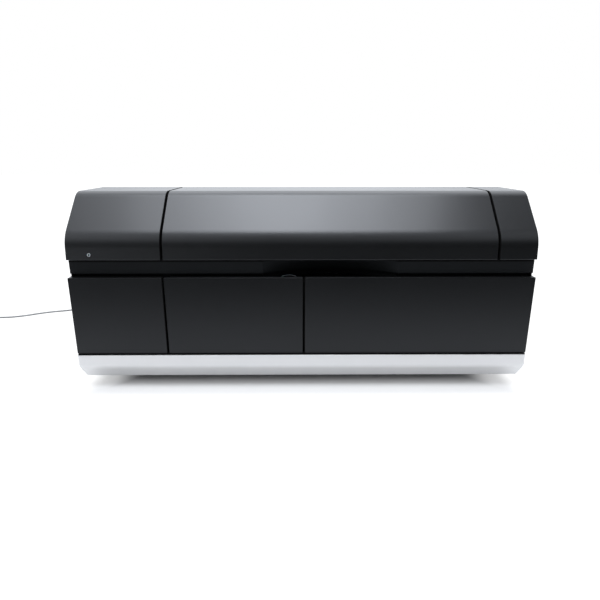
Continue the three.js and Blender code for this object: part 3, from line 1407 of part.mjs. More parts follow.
function lidHinge() {
  Object.entries(BRACKET_PLACES).forEach(([name, x]) => {
    const x0 = x - BRACKET_WIDTH / 2;
    const x1 = x + BRACKET_WIDTH / 2;
    const blade = block(
      x0,
      x1,
      HINGE_Y - BRACKET_BLADE / 2,
      HINGE_Y + BRACKET_BLADE / 2,
      DECK_TOP + SEAT,
      HINGE_Z,
    );
    addPiece(name, build([blade, barrel(x0, x1)], [shaftBore(x0, x1)]), 'blackMetal');
  });
  const reach = HINGE_SPREAD + BRACKET_WIDTH / 2 + LUG_WIDTH;
  const shaft = drum(SHAFT_RADIUS, -reach, reach, FACETS).rotateY(Math.PI / 2);
  addPiece('lid_hinge_shaft', shaft, 'steel').position.set(STAGE_CENTRE, HINGE_Y, HINGE_Z);
}

// Cable: plug and boot at the rear, a free run over the table, and a tied coil with its far plug
const PLUG_X = PLATE_X + SOCKET_X;
const PLUG_TIP = REAR + SHEET + SEAT + PLUG_OUTSIDE;
const CABLE_EXIT = PLUG_TIP + BOOT_LENGTH + SEAT;
const TURN_PITCH = 2 * CABLE_RADIUS + TURN_GAP;
const COIL_LOW = TIE + 2 * SEAT + CABLE_RADIUS;
const COIL_OUTER_RADIUS = COIL_INNER_RADIUS + (TURN_PITCH * COIL_TURNS) / 2;

function dataPlug() {
  const plug = build([
    block(
      -PLUG_WIDTH / 2,
      PLUG_WIDTH / 2,
      REAR + SHEET + SEAT - PLUG_INSIDE,
      PLUG_TIP,
      -PLUG_HEIGHT / 2,
      PLUG_HEIGHT / 2,
    ),
    turned([
      [0, -CABLE_RADIUS],
      [BOOT_RADIUS, -CABLE_RADIUS],
      [BOOT_RADIUS, 0],
      [BOOT_TIP, BOOT_LENGTH],
      [0, BOOT_LENGTH],
    ], FACETS_COARSE).rotateX(-Math.PI / 2).translate(0, PLUG_TIP, 0),
  ]);
  addPiece('data_plug', plug, 'cable').position.set(PLUG_X, 0, PLATE_Z);
}

function tube(points, steps, sides) {
  const section = new THREE.Shape(circle(0, 0, CABLE_RADIUS, sides));
  const extrudePath = new THREE.CatmullRomCurve3(points, false, 'centripetal');
  return new THREE.ExtrudeGeometry(section, { steps, bevelEnabled: false, extrudePath });
}

const coilStart = new THREE.Vector3(COIL_X, back(COIL_BACK) + COIL_OUTER_RADIUS, COIL_LOW);

function cableRun() {
  const places = [
    [PLUG_X - 2, 885, 118],
    [PLUG_X - 4, 899, 98],
    [PLUG_X - 8, 907, 70],
    [PLUG_X - 15, 912, 42],
    [PLUG_X - 28, 916, 19],
    [PLUG_X - 48, 918, 7],
    [PLUG_X - 75, 916, 3.2],
    [-560, 899, 2.7],
    [-600, 869, 2.7],
    [-632, 825, 2.7],
    [-654, 770, 2.7],
    [-671, 707, 2.7],
    [-690, 648, 2.7],
    [-715, 598, 2.7],
    [-745, 567, 2.7],
    [-775, 552, 2.7],
    [-804, 542, 2.7],
    [-832, 531, 2.7],
    [-858, 516, 2.7],
    [-880, 502, 2.7],
    [-903, 490, 2.7],
    [-930, 482, 2.7],
    [-960, 479.5, 2.8],
    [-990, 480, 3.2],
  ];
  const lead = 2 * CABLE_RADIUS;
  const points = [
    new THREE.Vector3(PLUG_X, CABLE_EXIT, PLATE_Z),
    new THREE.Vector3(PLUG_X, CABLE_EXIT + lead, PLATE_Z),
    ...places.map(([x, y, z]) => new THREE.Vector3(x, back(y), z)),
    coilStart.clone().add(new THREE.Vector3(lead * 2 + SEAT, 0, 0)),
    coilStart.clone().add(new THREE.Vector3(lead + SEAT, 0, 0)),
  ];
  addPiece('cable_run', tube(points, CABLE_STEPS, CABLE_SIDES), 'cable');
}

// The coil spirals in on the table, climbs a layer at its inmost half turn and spirals out again
function coilPoint(turn) {
  const middle = COIL_TURNS / 2;
  const radius = COIL_INNER_RADIUS + TURN_PITCH * Math.abs(turn - middle);
  const climb = THREE.MathUtils.smoothstep(turn, middle - CLIMB_SHARE, middle + CLIMB_SHARE);
  const angle = Math.PI / 2 + 2 * Math.PI * turn;
  return new THREE.Vector3(
    COIL_X + radius * Math.cos(angle),
    back(COIL_BACK) + radius * Math.sin(angle),
    COIL_LOW + TURN_PITCH * climb,
  );
}

// Tube through given stations, each ring square to the way the cable runs there
function woundTube(stations, sides) {
  const rings = stations.map((station, i) => {
    const ahead = stations[Math.min(i + 1, stations.length - 1)].clone();
    const forward = ahead.sub(stations[Math.max(i - 1, 0)]).normalize();
    const side = new THREE.Vector3(0, 0, 1).cross(forward).normalize();
    const up = forward.clone().cross(side);
    return circle(0, 0, CABLE_RADIUS, sides).map((p) => (
      station.clone().addScaledVector(side, p.x).addScaledVector(up, p.y)
    ));
  });
  return skin(rings);
}

// Least clear space between stretches of the coil that lie a quarter turn or more apart
function leastCoilGap(stations) {
  let least = Infinity;
  stations.forEach((station, i) => {
    for (let j = i + COIL_STEPS / 4; j < stations.length; j += 1) {
      least = Math.min(least, station.distanceTo(stations[j]) - 2 * CABLE_RADIUS);
    }
  });
  return least;
}

const FAR_PLUG_HALF = PLUG_HEIGHT / 2 + TIE / 4;

function cableCoil() {
  const lead = 2 * CABLE_RADIUS;
  const stations = [coilStart.clone().add(new THREE.Vector3(lead, 0, 0))];
  const count = COIL_TURNS * COIL_STEPS;
  for (let step = 0; step <= count; step += 1) {
    stations.push(coilPoint((COIL_TURNS * step) / count));
  }
  const end = coilPoint(COIL_TURNS);
  for (let step = 1; step <= TAIL_LENGTH / lead; step += 1) {
    const share = (step * lead) / TAIL_LENGTH;
    const fall = (end.z - FAR_PLUG_HALF - TIE / 4) * THREE.MathUtils.smoothstep(share, TAIL_LEVEL_SHARE, 1);
    stations.push(new THREE.Vector3(end.x - share * TAIL_LENGTH, end.y, end.z - fall));
  }
  addPiece('cable_coil', woundTube(stations, COIL_SIDES), 'cable');
  console.log(`least gap in the coil: ${leastCoilGap(stations).toFixed(2)} mm`);

  const farX = stations[stations.length - 1].x - SEAT;
  const farPlug = build([
    block(
      -BOOT_LENGTH - FAR_PLUG_LENGTH,
      -BOOT_LENGTH,
      -PLUG_WIDTH / 2,
      PLUG_WIDTH / 2,
      -PLUG_HEIGHT / 2,
      PLUG_HEIGHT / 2,
    ),
    turned([
      [0, 0],
      [BOOT_TIP, 0],
      [BOOT_RADIUS, BOOT_LENGTH],
      [BOOT_RADIUS, BOOT_LENGTH + CABLE_RADIUS],
      [0, BOOT_LENGTH + CABLE_RADIUS],
    ], FACETS_COARSE).rotateY(-Math.PI / 2),
  ]);
  addPiece('far_plug', farPlug, 'cable').position.set(farX, end.y, FAR_PLUG_HALF + TIE / 4);
}

function cableTie() {
  const low = TIE + SEAT;
  const high = COIL_LOW + TURN_PITCH + CABLE_RADIUS + SEAT;
  const near = COIL_INNER_RADIUS - CABLE_RADIUS - SEAT - TIE_ROOM * 2;
  const turnsOut = COIL_TURNS / 2 - 2 * CLIMB_SHARE; // the strap is half a turn from the coil's ends
  const widest = COIL_INNER_RADIUS + TURN_PITCH * turnsOut;
  const far = widest + CABLE_RADIUS + SEAT + TIE_ROOM;
  const y = back(COIL_BACK);
  const strap = alongX(
    outline(rectangle(y - far - TIE, y - near + TIE, low - TIE, high + TIE, TIE_CORNER)),
    COIL_X - TIE_WIDTH / 2,
    COIL_X + TIE_WIDTH / 2,
    [outline(rectangle(y - far, y - near, low, high))],
  );
  addPiece('cable_tie', strap, 'belt');
}

baseTray();
feet();
chassisPlate();
frontPanels();
filterDoor();
frontFrame();
powerButton();
neckFascia();
topDeck();
stage();
sidePanels();
rearPanel();
bulkheads();
rails();
scanCarriage();
leadScrew();
lasers();
detector();
filterChanger();
electronics();
fan();
connectorPlate();
hoodCovers();
lid();
lidHinge();
dataPlug();
cableRun();
cableCoil();
cableTie();

export default group;
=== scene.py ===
"""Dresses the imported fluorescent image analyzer: its moulded hood and lid, front panels, silver base,
neck with the finger recess, rear panel, scan bay and cable, each with its own finish. Metres throughout."""

import json
import math

import bmesh
import bpy
from mathutils import Matrix, Vector

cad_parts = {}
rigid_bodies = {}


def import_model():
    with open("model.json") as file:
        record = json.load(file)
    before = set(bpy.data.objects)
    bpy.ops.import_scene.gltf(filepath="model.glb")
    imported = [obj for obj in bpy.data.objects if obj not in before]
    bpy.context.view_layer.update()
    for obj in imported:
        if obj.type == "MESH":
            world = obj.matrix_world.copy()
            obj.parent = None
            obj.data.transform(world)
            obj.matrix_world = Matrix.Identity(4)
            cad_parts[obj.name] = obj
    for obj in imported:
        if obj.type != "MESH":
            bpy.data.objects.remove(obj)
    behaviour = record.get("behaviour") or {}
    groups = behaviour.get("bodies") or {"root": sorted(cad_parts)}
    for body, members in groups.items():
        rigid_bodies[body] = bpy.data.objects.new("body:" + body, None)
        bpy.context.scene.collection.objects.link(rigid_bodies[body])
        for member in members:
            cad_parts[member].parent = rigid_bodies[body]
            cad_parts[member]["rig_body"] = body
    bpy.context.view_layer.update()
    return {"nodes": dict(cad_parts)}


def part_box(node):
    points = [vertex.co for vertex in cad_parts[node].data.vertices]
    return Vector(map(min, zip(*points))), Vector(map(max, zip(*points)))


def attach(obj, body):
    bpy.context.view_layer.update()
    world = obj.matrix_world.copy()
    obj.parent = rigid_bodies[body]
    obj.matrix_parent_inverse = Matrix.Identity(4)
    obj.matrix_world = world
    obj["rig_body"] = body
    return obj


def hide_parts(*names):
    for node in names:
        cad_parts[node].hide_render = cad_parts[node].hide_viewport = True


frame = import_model()


def low(node):
    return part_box(node)[0]


def high(node):
    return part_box(node)[1]


def middle(node):
    return (low(node) + high(node)) / 2


def spans(node):
    """The low and high ends of a node along X, Y and Z."""
    return tuple(zip(*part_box(node)))


def shrunk(span, inset):
    return span[0] + inset, span[1] - inset


def grown(span, reach):
    return shrunk(span, -reach)


# Places taken from the frame
SIDE = high("right_front_panel").x
FACE = low("left_front_panel").y
REAR = high("rear_panel").y
PANEL_BOTTOM = low("left_front_panel").z
PANEL_TOP = high("left_front_panel").z
TRAY_BOTTOM = low("base_tray").z
TRAY_TOP = high("base_tray").z
TRAY_FRONT = low("base_tray").y
HOOD_BOTTOM = low("lid_shell").z
HOOD_TOP = high("lid_shell").z
LIP_FACE = low("lid_shell").y
DECK = spans("top_deck")[2]
STAGE_TOP = high("stage_frame").z
SHELF_TOP = high("front_frame").z

# Gaps and walls
SEAT = 0.0003
OVERRUN = 0.005
SHEET = 0.003
HOOD_WALL = 0.0035
ARC_STEP = math.radians(4)

# Base tray and feet
BEVEL_TOP = 0.048
BEVEL_FRONT = 0.015
BEVEL_SIDE = 0.0076
TRAY_CORNER = 0.008
TRAY_EDGE = 0.0015
TRAY_RIM = 0.008
FOLD_ROLL = 0.0060
FOOT_ROLL = 0.0012
FOOT_CHAMFER = 0.003
FOOT_GROOVE = 0.0012

# Front panels and the door's hinge
PANEL_CORNER = 0.0018
PANEL_SKIN = 0.004
PANEL_DEPTH = 0.012
PANEL_EDGE = 0.0010
DOOR_BARREL = 0.0035
DOOR_LUG = 0.007
DOOR_PIN_ROOM = 0.0023
DOOR_TAB = 0.003
LUG_BITE = 0.002
FRAME_SILL = 0.015

# Neck, finger recess and glass
NECK_FACE = low("top_deck").y
NECK_BOTTOM = 0.2547
NECK_GROOVE = 0.010
LIP_SHADOW_HEIGHT = 0.0024
RECESS_CENTRE = 0.060
RECESS_WIDTH = 0.288
RECESS_DEPTH = 0.048
RECESS_RADIUS = ((RECESS_WIDTH / 2) ** 2 + RECESS_DEPTH**2) / (2 * RECESS_DEPTH)
RECESS_STEPS = 72
GLASS_GAP = 0.001
GLASS_CORNER = 0.0012
SHEET_CORNER = 0.002

# Rear panel
GRILLE_BARS = 7
GRILLE_SLOT = 0.006
FAN_BORE = 0.043
VENT_CENTRE = 0.150
VENT_WIDTH = 0.320
VENT_HEIGHT = 0.060
VENT_Z = 0.200
VENT_SLOTS = 12
ROUND_END_SHARE = 0.98
PLATE_RIM = 0.005
PLATE_CORNER = 0.001
REAR_CUT = (REAR - SHEET - OVERRUN, REAR + OVERRUN)
SCREW_RADIUS = 0.0035
SCREW_HEIGHT = 0.0020
SCREW_INSET = 0.012
SCREW_COLUMNS = 5

# Hood section, measured back from the panel faces
FACE_SLOPE = math.radians(4.8)
KNEE_SHARE = 0.3461
REAR_DROP_SHARE = 0.4839
TOP_EDGE_BACK = 0.0962
RIDGE_BACK = 0.253
KNEE_RADIUS = 0.060
TOP_EDGE_RADIUS = 0.040
RIDGE_RADIUS = 0.060
REAR_RADIUS = 0.025
CUT_EDGE_RADIUS = 0.002
HOOD_EDGE = 0.0009
JOINT_INSET = 0.004
HOOD_HEIGHT = HOOD_TOP - HOOD_BOTTOM
KNEE_Z = HOOD_BOTTOM + HOOD_HEIGHT * KNEE_SHARE
KNEE_Y = LIP_FACE + (KNEE_Z - HOOD_BOTTOM) * math.tan(FACE_SLOPE)
FRONT_SLOPE = math.atan2(HOOD_TOP - KNEE_Z, FACE + TOP_EDGE_BACK - KNEE_Y)
REAR_FALL = math.atan2(HOOD_HEIGHT * REAR_DROP_SHARE, REAR - FACE - RIDGE_BACK)

# Lid hinge, liner and seal
BARREL_RADIUS = 0.008
BARREL_GAP = 0.001
LUG_WIDTH = 0.026
LUG_GAP = 0.0006
SHAFT_ROOM = 0.0043
LINER_RIBS = 9
RIB_RISE = 0.0014
SEAL_WIDTH = 0.010
SEAL_ROLL_SHARE = 0.45

# Cable
PLUG = middle("data_plug")
CABLE_EXIT = high("data_plug").y + SEAT
CABLE_RADIUS = 0.0025
CABLE_LEVEL = 0.0027
COIL_X = -1.035
COIL_Y = FACE + 0.445
COIL_LOW = 0.0042
COIL_INNER_RADIUS = 0.021
COIL_TURNS = 5
COIL_STEPS = 24
TURN_PITCH = 0.0056
CLIMB_SHARE = 0.25
TAIL_LENGTH = 0.040
TAIL_LEVEL_SHARE = 0.35
BOOT_LENGTH = 0.024
BOOT_RADIUS = 0.0046
BOOT_TIP = 0.0033
BOOT_RIBS = 6
RIB_START_SHARE = 0.35
PLUG_CORNER = 0.0015
TIE = 0.0011
TIE_CORNER = 0.0016
TIE_HOLE_CORNER = 0.0006

# Camera
CAMERA_PLACE = (-0.0119, FACE - 0.9970, 0.4943)
CAMERA_PITCH = math.radians(16.44)
CAMERA_YAW = math.radians(-0.40)
CAMERA_LENS = 29.16
SENSOR = 36


def in_scene(name, data):
    """A new object of some data, linked into the scene."""
    made = bpy.data.objects.new(name, data)
    bpy.context.scene.collection.objects.link(made)
    return made


def add_camera():
    camera = bpy.data.cameras.new("studio_camera")
    camera.sensor_width = SENSOR
    camera.lens = CAMERA_LENS
    holder = in_scene("studio_camera", camera)
    holder.location = CAMERA_PLACE
    holder.rotation_euler = (math.pi / 2 - CAMERA_PITCH, 0, CAMERA_YAW)
    bpy.context.scene.camera = holder


add_camera()


# Shader helpers
def add_node(tree, kind, inputs=(), **settings):
    """A node whose inputs are plain values or other nodes' outputs."""
    node = tree.nodes.new(kind)
    for key, value in settings.items():
        setattr(node, key, value)
    for key, value in dict(inputs).items():
        if isinstance(value, bpy.types.NodeSocket):
            tree.links.new(value, node.inputs[key])
        else:
            node.inputs[key].default_value = value
    return node


def wire(tree, kind, inputs=(), output=0, **settings):
    """One output of such a node."""
    return add_node(tree, kind, inputs, **settings).outputs[output]


def calc(tree, operation, first, second=0, clamp=False):
    return wire(tree, "ShaderNodeMath", {0: first, 1: second}, operation=operation, use_clamp=clamp)


def product(tree, *factors):
    total = factors[0]
    for factor in factors[1:]:
        total = calc(tree, "MULTIPLY", total, factor)
    return total


def scaled(tree, colour, amount):
    return wire(tree, "ShaderNodeVectorMath", {0: colour, "Scale": amount}, operation="SCALE")


def graded(tree, value, first, last, start, end):
    """A smooth step of a value between two places."""
    ends = {"Value": value, "From Min": first, "From Max": last, "To Min": start, "To Max": end}
    return wire(tree, "ShaderNodeMapRange", ends, interpolation_type="SMOOTHSTEP")


def coordinates(tree, kind):
    """The X, Y and Z of the place that is shaded."""
    place = wire(tree, "ShaderNodeTexCoord", output=kind)
    return add_node(tree, "ShaderNodeSeparateXYZ", {0: place}).outputs


SOCKET_KINDS = {"Color": "Color", "Rubbed And Highlight Color": "Color", "Normal": "Vector", "Stretch": "Vector"}


def new_group(name, inputs, outputs):
    """A node group with named inputs at their usual values; gives it and its inputs' sockets."""
    group = bpy.data.node_groups.new(name, "ShaderNodeTree")
    for direction, sockets in (("INPUT", inputs), ("OUTPUT", outputs)):
        for socket in sockets:
            kind = f"NodeSocket{SOCKET_KINDS.get(socket, 'Float')}"
            made = group.interface.new_socket(name=socket, in_out=direction, socket_type=kind)
            if direction == "INPUT":
                made.default_value = inputs[socket]
    return group, group.nodes.new("NodeGroupInput").outputs


def grey(level, blue=0.0):
    """A near neutral colour, a little bluer by the share `blue`."""
    return (level * (1 - blue), level, level * (1 + blue), 1)


def moulded_grain_group():
    """Fine leather-like grain of a moulded plastic, with faint cloudiness in tone and sheen."""
    usual = {"Color": grey(0.1), "Roughness": 0.5}
    usual |= {"Grain Size": 0.0006, "Grain Depth": 0.00002, "Cloud": 0.06}
    group, ins = new_group("moulded_grain", usual, ("Color", "Roughness", "Normal"))
    where = wire(group, "ShaderNodeTexCoord", output="Object")
    cells = {"Vector": where, "Scale": calc(group, "DIVIDE", 1.0, ins["Grain Size"])}
    pits = wire(group, "ShaderNodeTexVoronoi", cells, "Distance", feature="SMOOTH_F1")
    relief = {"Strength": 0.5, "Height": pits, "Distance": ins["Grain Depth"]}
    cloud = wire(group, "ShaderNodeTexNoise", {"Vector": where, "Scale": 9.0, "Detail": 5.0})
    amount = product(group, calc(group, "SUBTRACT", cloud, 0.5), ins["Cloud"])
    results = {
        "Color": scaled(group, ins["Color"], calc(group, "ADD", amount, 1.0)),
        "Roughness": calc(group, "ADD", ins["Roughness"], amount, True),
        "Normal": wire(group, "ShaderNodeBump", relief),
    }
    add_node(group, "NodeGroupOutput", results)
    return group


def brushed_group():
    """Metal drawn or milled along one axis: long faint lines in tone, sheen and height."""
    usual = {"Color": grey(0.5), "Roughness": 0.35, "Stretch": (20, 600, 600), "Depth": 0.00001}
    group, ins = new_group("brushed_lines", usual, ("Color", "Roughness", "Normal"))
    where = wire(group, "ShaderNodeTexCoord", output="Object")
    stretched = wire(group, "ShaderNodeVectorMath", {0: where, 1: ins["Stretch"]}, operation="MULTIPLY")
    lines = wire(group, "ShaderNodeTexNoise", {"Vector": stretched, "Scale": 1.0, "Detail": 6.0})
    spread = wire(group, "ShaderNodeMapRange", {"Value": lines, "To Min": -0.06, "To Max": 0.06})
    gain = wire(group, "ShaderNodeMapRange", {"Value": lines, "To Min": 0.88, "To Max": 1.08})
    relief = {"Strength": 0.4, "Height": lines, "Distance": ins["Depth"]}
    results = {
        "Color": scaled(group, ins["Color"], gain),
        "Roughness": calc(group, "ADD", ins["Roughness"], spread, True),
        "Normal": wire(group, "ShaderNodeBump", relief),
    }
    add_node(group, "NodeGroupOutput", results)
    return group


def rubbed_and_highlight_edge_group():
    """Lightens the outer edges, from how far the surface bulges: wear where hands and cloths rub, and on the
    hood and panels also a painted highlight along their rolled edges.
    """
    usual = {"Color": grey(0.1), "Rubbed And Highlight Color": grey(0.2), "Amount": 0.3}
    group, ins = new_group("rubbed_and_highlight_edges", usual, ("Color",))
    bulge = wire(group, "ShaderNodeNewGeometry", output="Pointiness")
    mask = wire(group, "ShaderNodeMapRange", {"Value": bulge, "From Min": 0.52, "From Max": 0.60})
    broken = wire(group, "ShaderNodeTexNoise", {"Scale": 60.0, "Detail": 4.0})
    amount = calc(group, "MULTIPLY", product(group, mask, broken), ins["Amount"], True)
    colours = {0: amount, 6: ins["Color"], 7: ins["Rubbed And Highlight Color"]}
    add_node(group, "NodeGroupOutput", {"Color": wire(group, "ShaderNodeMix", colours, 2, data_type="RGBA")})
    return group


MOULDED = moulded_grain_group()
BRUSHED = brushed_group()
RUBBED_AND_HIGHLIGHT = rubbed_and_highlight_edge_group()


# Finishes
def new_material(name, group, values, shader=(), rubbed_and_highlight=None):
    """A Principled material fed by one of the groups above; `shader` holds plain socket values."""
    material = bpy.data.materials.new(name)
    material.use_nodes = True
    tree = material.node_tree
    principled = tree.nodes["Principled BSDF"].inputs
    for key, value in dict(shader).items():
        principled[key].default_value = value
    surface = add_node(tree, "ShaderNodeGroup", values, node_tree=group).outputs
    colour = surface["Color"]
    if rubbed_and_highlight:
        edges = {"Color": colour, "Rubbed And Highlight Color": rubbed_and_highlight[0], "Amount": rubbed_and_highlight[1]}
        colour = wire(tree, "ShaderNodeGroup", edges, node_tree=RUBBED_AND_HIGHLIGHT)
    tree.links.new(colour, principled["Base Color"])
    tree.links.new(surface["Roughness"], principled["Roughness"])
    tree.links.new(surface["Normal"], principled["Normal"])
    return material


def moulded(name, colour, roughness, size, depth, shader=(), rubbed_and_highlight=None):
    values = {"Color": colour, "Roughness": roughness, "Grain Size": size, "Grain Depth": depth}
    return new_material(name, MOULDED, values, shader, rubbed_and_highlight)


def brushed(name, colour, roughness, shader=(), lines=()):
    return new_material(name, BRUSHED, {"Color": colour, "Roughness": roughness, **dict(lines)}, shader)


def board_material():
    """Green circuit board with lighter tracks under its lacquer."""
    green = (0.02, 0.12, 0.05, 1)
    material = moulded("circuit_board", green, 0.35, 0.003, 0.00002, {"Coat Weight": 0.3})
    tree = material.node_tree
    _, y, z = coordinates(tree, "Object")
    pattern = {
        "Vector": wire(tree, "ShaderNodeCombineXYZ", {"X": y, "Y": z}),
        "Color1": green,
        "Color2": (0.03, 0.15, 0.06, 1),
        "Mortar": (0.10, 0.30, 0.12, 1),
        "Scale": 40.0,
        "Mortar Size": 0.03,
    }
    tracks = wire(tree, "ShaderNodeTexBrick", pattern)
    tree.links.new(tracks, tree.nodes["Principled BSDF"].inputs["Base Color"])
    return material


BLACK = grey(0.006, 0.06)
COOL = (0.95, 0.965, 1.0, 1)
HOOD_GLOSS = {"Specular IOR Level": 0.7, "Specular Tint": COOL, "Coat Weight": 0.3, "Coat Roughness": 0.18}
PANEL_GLOSS = {"Specular IOR Level": 0.33, "Specular Tint": COOL}
NECK_GLOSS = {"Specular IOR Level": 0.08, "Specular Tint": COOL}
CLEAR = {"Transmission Weight": 1.0, "IOR": 1.5}
FINE_WEAVE = {"Stretch": (900, 900, 900), "Depth": 0.00005}
ALONG_Y = {"Stretch": (600, 30, 600)}
# Hood and panel edges are lightened partly as wear and partly as a painted highlight; the powder coat's edges
# as wear
FINISHES = {
    "hood": moulded("hood_moulding", BLACK, 0.35, 0.0007, 0.00002, HOOD_GLOSS, (grey(0.05, 0.04), 0.3)),
    "panel": moulded("panel_moulding", BLACK, 0.33, 0.0006, 0.000015, PANEL_GLOSS, (grey(0.03, 0.04), 0.3)),
    "neck": moulded("neck_moulding", grey(0.022, 0.06), 0.45, 0.0006, 0.000015, NECK_GLOSS),
    "silver": moulded("silver_paint", (0.88, 0.87, 0.86, 1), 0.42, 0.0004, 0.000006, {"Metallic": 0.5}),
    "rubber": moulded("black_rubber", grey(0.012), 0.8, 0.0012, 0.00006),
    "steel": brushed("sheet_steel", grey(0.42, 0.01), 0.34, {"Metallic": 1.0}),
    "cast_aluminium": moulded("cast_aluminium", grey(0.48), 0.42, 0.0012, 0.00004, {"Metallic": 0.9}),
    "black_metal": moulded("powder_coat", grey(0.016), 0.5, 0.0008, 0.00003, rubbed_and_highlight=(grey(0.12), 0.4)),
    "glass": moulded("stage_glass", (0.86, 0.95, 0.92, 1), 0.03, 0.004, 0.000002, CLEAR),
    "light_ring": moulded("pale_ring_and_painted_glint", grey(0.62), 0.3, 0.001, 0.000004, {"Subsurface Weight": 0.2}),
    "board": board_material(),
    "belt": brushed("woven_strap", grey(0.012), 0.75, lines=FINE_WEAVE),
    "laser": brushed("blue_anodising", (0.02, 0.05, 0.24, 1), 0.38, {"Metallic": 0.7}, ALONG_Y),
    "cable": moulded("cable_sheath", grey(0.39, 0.01), 0.45, 0.0008, 0.00001),
}
DARK_LENS = moulded("dark_lens", grey(0.006), 0.15, 0.001, 0.000002, {"Coat Weight": 0.6})
# Matt black for painted shade in joints, gaps, under the lip and on the frame behind the panels, and for the
# joint seals
SEAM_AND_SHADE_BLACK = moulded("seam_and_painted_shade_black", grey(0.004), 0.8, 0.0008, 0.00002, {"Specular IOR Level": 0.15})
BUTTON_BLACK = moulded("button_black", grey(0.006), 0.5, 0.0005, 0.00001, {"Specular IOR Level": 0.2})


# Outlines in two dimensions: each corner is (u, v) or (u, v, radius)
def outline(corners, step=ARC_STEP):
    points = []
    for index, corner in enumerate(corners):
        here = Vector(corner[:2])
        radius = corner[2] if len(corner) > 2 else 0
        if radius <= 0:
            points.append(here)
            continue
        to_last = Vector(corners[index - 1][:2]) - here
        to_next = Vector(corners[(index + 1) % len(corners)][:2]) - here
        room = min(to_last.length, to_next.length) / 2
        to_last.normalize()
        to_next.normalize()
        half = math.acos(max(-1, min(1, to_last.dot(to_next)))) / 2
        tangent = min(radius / math.tan(half), room)
        arc_radius = tangent * math.tan(half)
        centre = here + (to_last + to_next).normalized() * (arc_radius / math.sin(half))
        start = here + to_last * tangent - centre
        turn = math.pi - 2 * half
        if to_next.x * to_last.y - to_next.y * to_last.x < 0:
            turn = -turn
        steps = max(2, math.ceil(abs(turn) / step))
        for count in range(steps + 1):
            points.append(centre + Matrix.Rotation(turn * count / steps, 2) @ start)
    return points


def rectangle(u, v, radius=0.0):
    """A rectangle over two spans, its corners rounded."""
    return outline([(u[0], v[0], radius), (u[1], v[0], radius), (u[1], v[1], radius), (u[0], v[1], radius)])


def circle(u, v, radius, count=64):
    angles = [2 * math.pi * index / count for index in range(count)]
    return [Vector((u + radius * math.cos(a), v + radius * math.sin(a))) for a in angles]


def quarter(steps):
    """Angles of a quarter turn, both ends included."""
    return [math.pi / 2 * step / steps for step in range(steps + 1)]


# Meshes
AXES = {
    "X": lambda u, v, w: Vector((w, u, v)),
    "Y": lambda u, v, w: Vector((u, w, v)),
    "Z": lambda u, v, w: Vector((u, v, w)),
}


def new_object(name, bm):
    bmesh.ops.recalc_face_normals(bm, faces=bm.faces)
    mesh = bpy.data.meshes.new(name)
    bm.to_mesh(mesh)
    bm.free()
    return in_scene(name, mesh)


def loft(name, rings, caps=True):
    """Skin over rings of points with the same count."""
    bm = bmesh.new()
    rows = [[bm.verts.new(point) for point in ring] for ring in rings]
    count = len(rows[0])
    for near, far in zip(rows, rows[1:]):
        for index in range(count):
            after = (index + 1) % count
            bm.faces.new((near[index], near[after], far[after], far[index]))
    if caps:
        bm.faces.new(rows[0])
        bm.faces.new(rows[-1])
    bmesh.ops.remove_doubles(bm, verts=bm.verts, dist=1e-7)
    return new_object(name, bm)


def prism(name, section, span, axis):
    """A straight solid of one section over a span of an axis."""
    place = AXES[axis]
    return loft(name, [[place(point[0], point[1], along) for point in section] for along in span])


def block(name, u, v, span, axis, radius=0.0):
    """A straight block over three spans; the edges along its axis are rounded."""
    return prism(name, rectangle(u, v, radius), span, axis)


def lathe(name, profile, centre, axis="Z", count=64):
    """A round solid; `profile` is a list of (radius, height) that starts and ends on the axis."""
    turn = {
        "X": Matrix.Rotation(math.pi / 2, 3, "Y"),
        "Y": Matrix.Rotation(-math.pi / 2, 3, "X"),
        "Z": Matrix.Identity(3),
    }[axis]
    rings = []
    for radius, height in profile:
        ring = [Vector((*point, height)) for point in circle(0, 0, radius, count)]
        rings.append([Vector(centre) + turn @ point for point in ring])
    return loft(name, rings, caps=False)


def settle(made):
    """Turns a piece's modifiers into its mesh."""
    shown = made.evaluated_get(bpy.context.evaluated_depsgraph_get())
    mesh = bpy.data.meshes.new_from_object(shown)
    made.modifiers.clear()
    made.data = mesh


def combine(made, tools, operation):
    for tool in tools:
        modifier = made.modifiers.new(operation.lower(), "BOOLEAN")
        modifier.object = tool
        modifier.operation = operation
        modifier.solver = "EXACT"
    settle(made)
    for tool in tools:
        bpy.data.objects.remove(tool)
    return made


def cut(made, *tools):
    return combine(made, tools, "DIFFERENCE")


def join(made, *tools):
    return combine(made, tools, "UNION")


def merge(name, pieces):
    """Several separate solids in one object."""
    bm = bmesh.new()
    for piece in pieces:
        bm.from_mesh(piece.data)
        bpy.data.objects.remove(piece)
    return new_object(name, bm)


SHARP = math.radians(32)
# Joint faces leaning sideways more than this, most of the rounded edges included, are painted black as shade
SEAM_LEAN = 0.1
LEVEL = 0.9


def soften(made, edge, segments=3):
    """Rounds the sharp edges."""
    bevel = made.modifiers.new("soft_edges", "BEVEL")
    bevel.width = edge
    bevel.segments = segments
    bevel.limit_method = "ANGLE"
    bevel.angle_limit = SHARP
    settle(made)
    return made


def dress(made, finish, node=None, edge=0.0, segments=3, material=None, body="housing"):
    """Softened edges, smooth shading, the finish, the body that it rides on and the node it replaces."""
    made.data.materials.clear()
    made.data.materials.append(material or FINISHES[finish])
    if edge:
        soften(made, edge, segments)
    made.data.shade_smooth()
    made.data.set_sharp_from_angle(angle=SHARP)
    even = made.modifiers.new("even_normals", "WEIGHTED_NORMAL")
    even.keep_sharp = True
    even.weight = 100
    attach(made, body)
    if node:
        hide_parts(node)
    return made


def blacken(made, chosen):
    """Leaves the chosen faces matt black: painted shade that keeps joints and gaps dark."""
    made.data.materials.append(SEAM_AND_SHADE_BLACK)
    for face in made.data.polygons:
        if chosen(face):
            face.material_index = 1


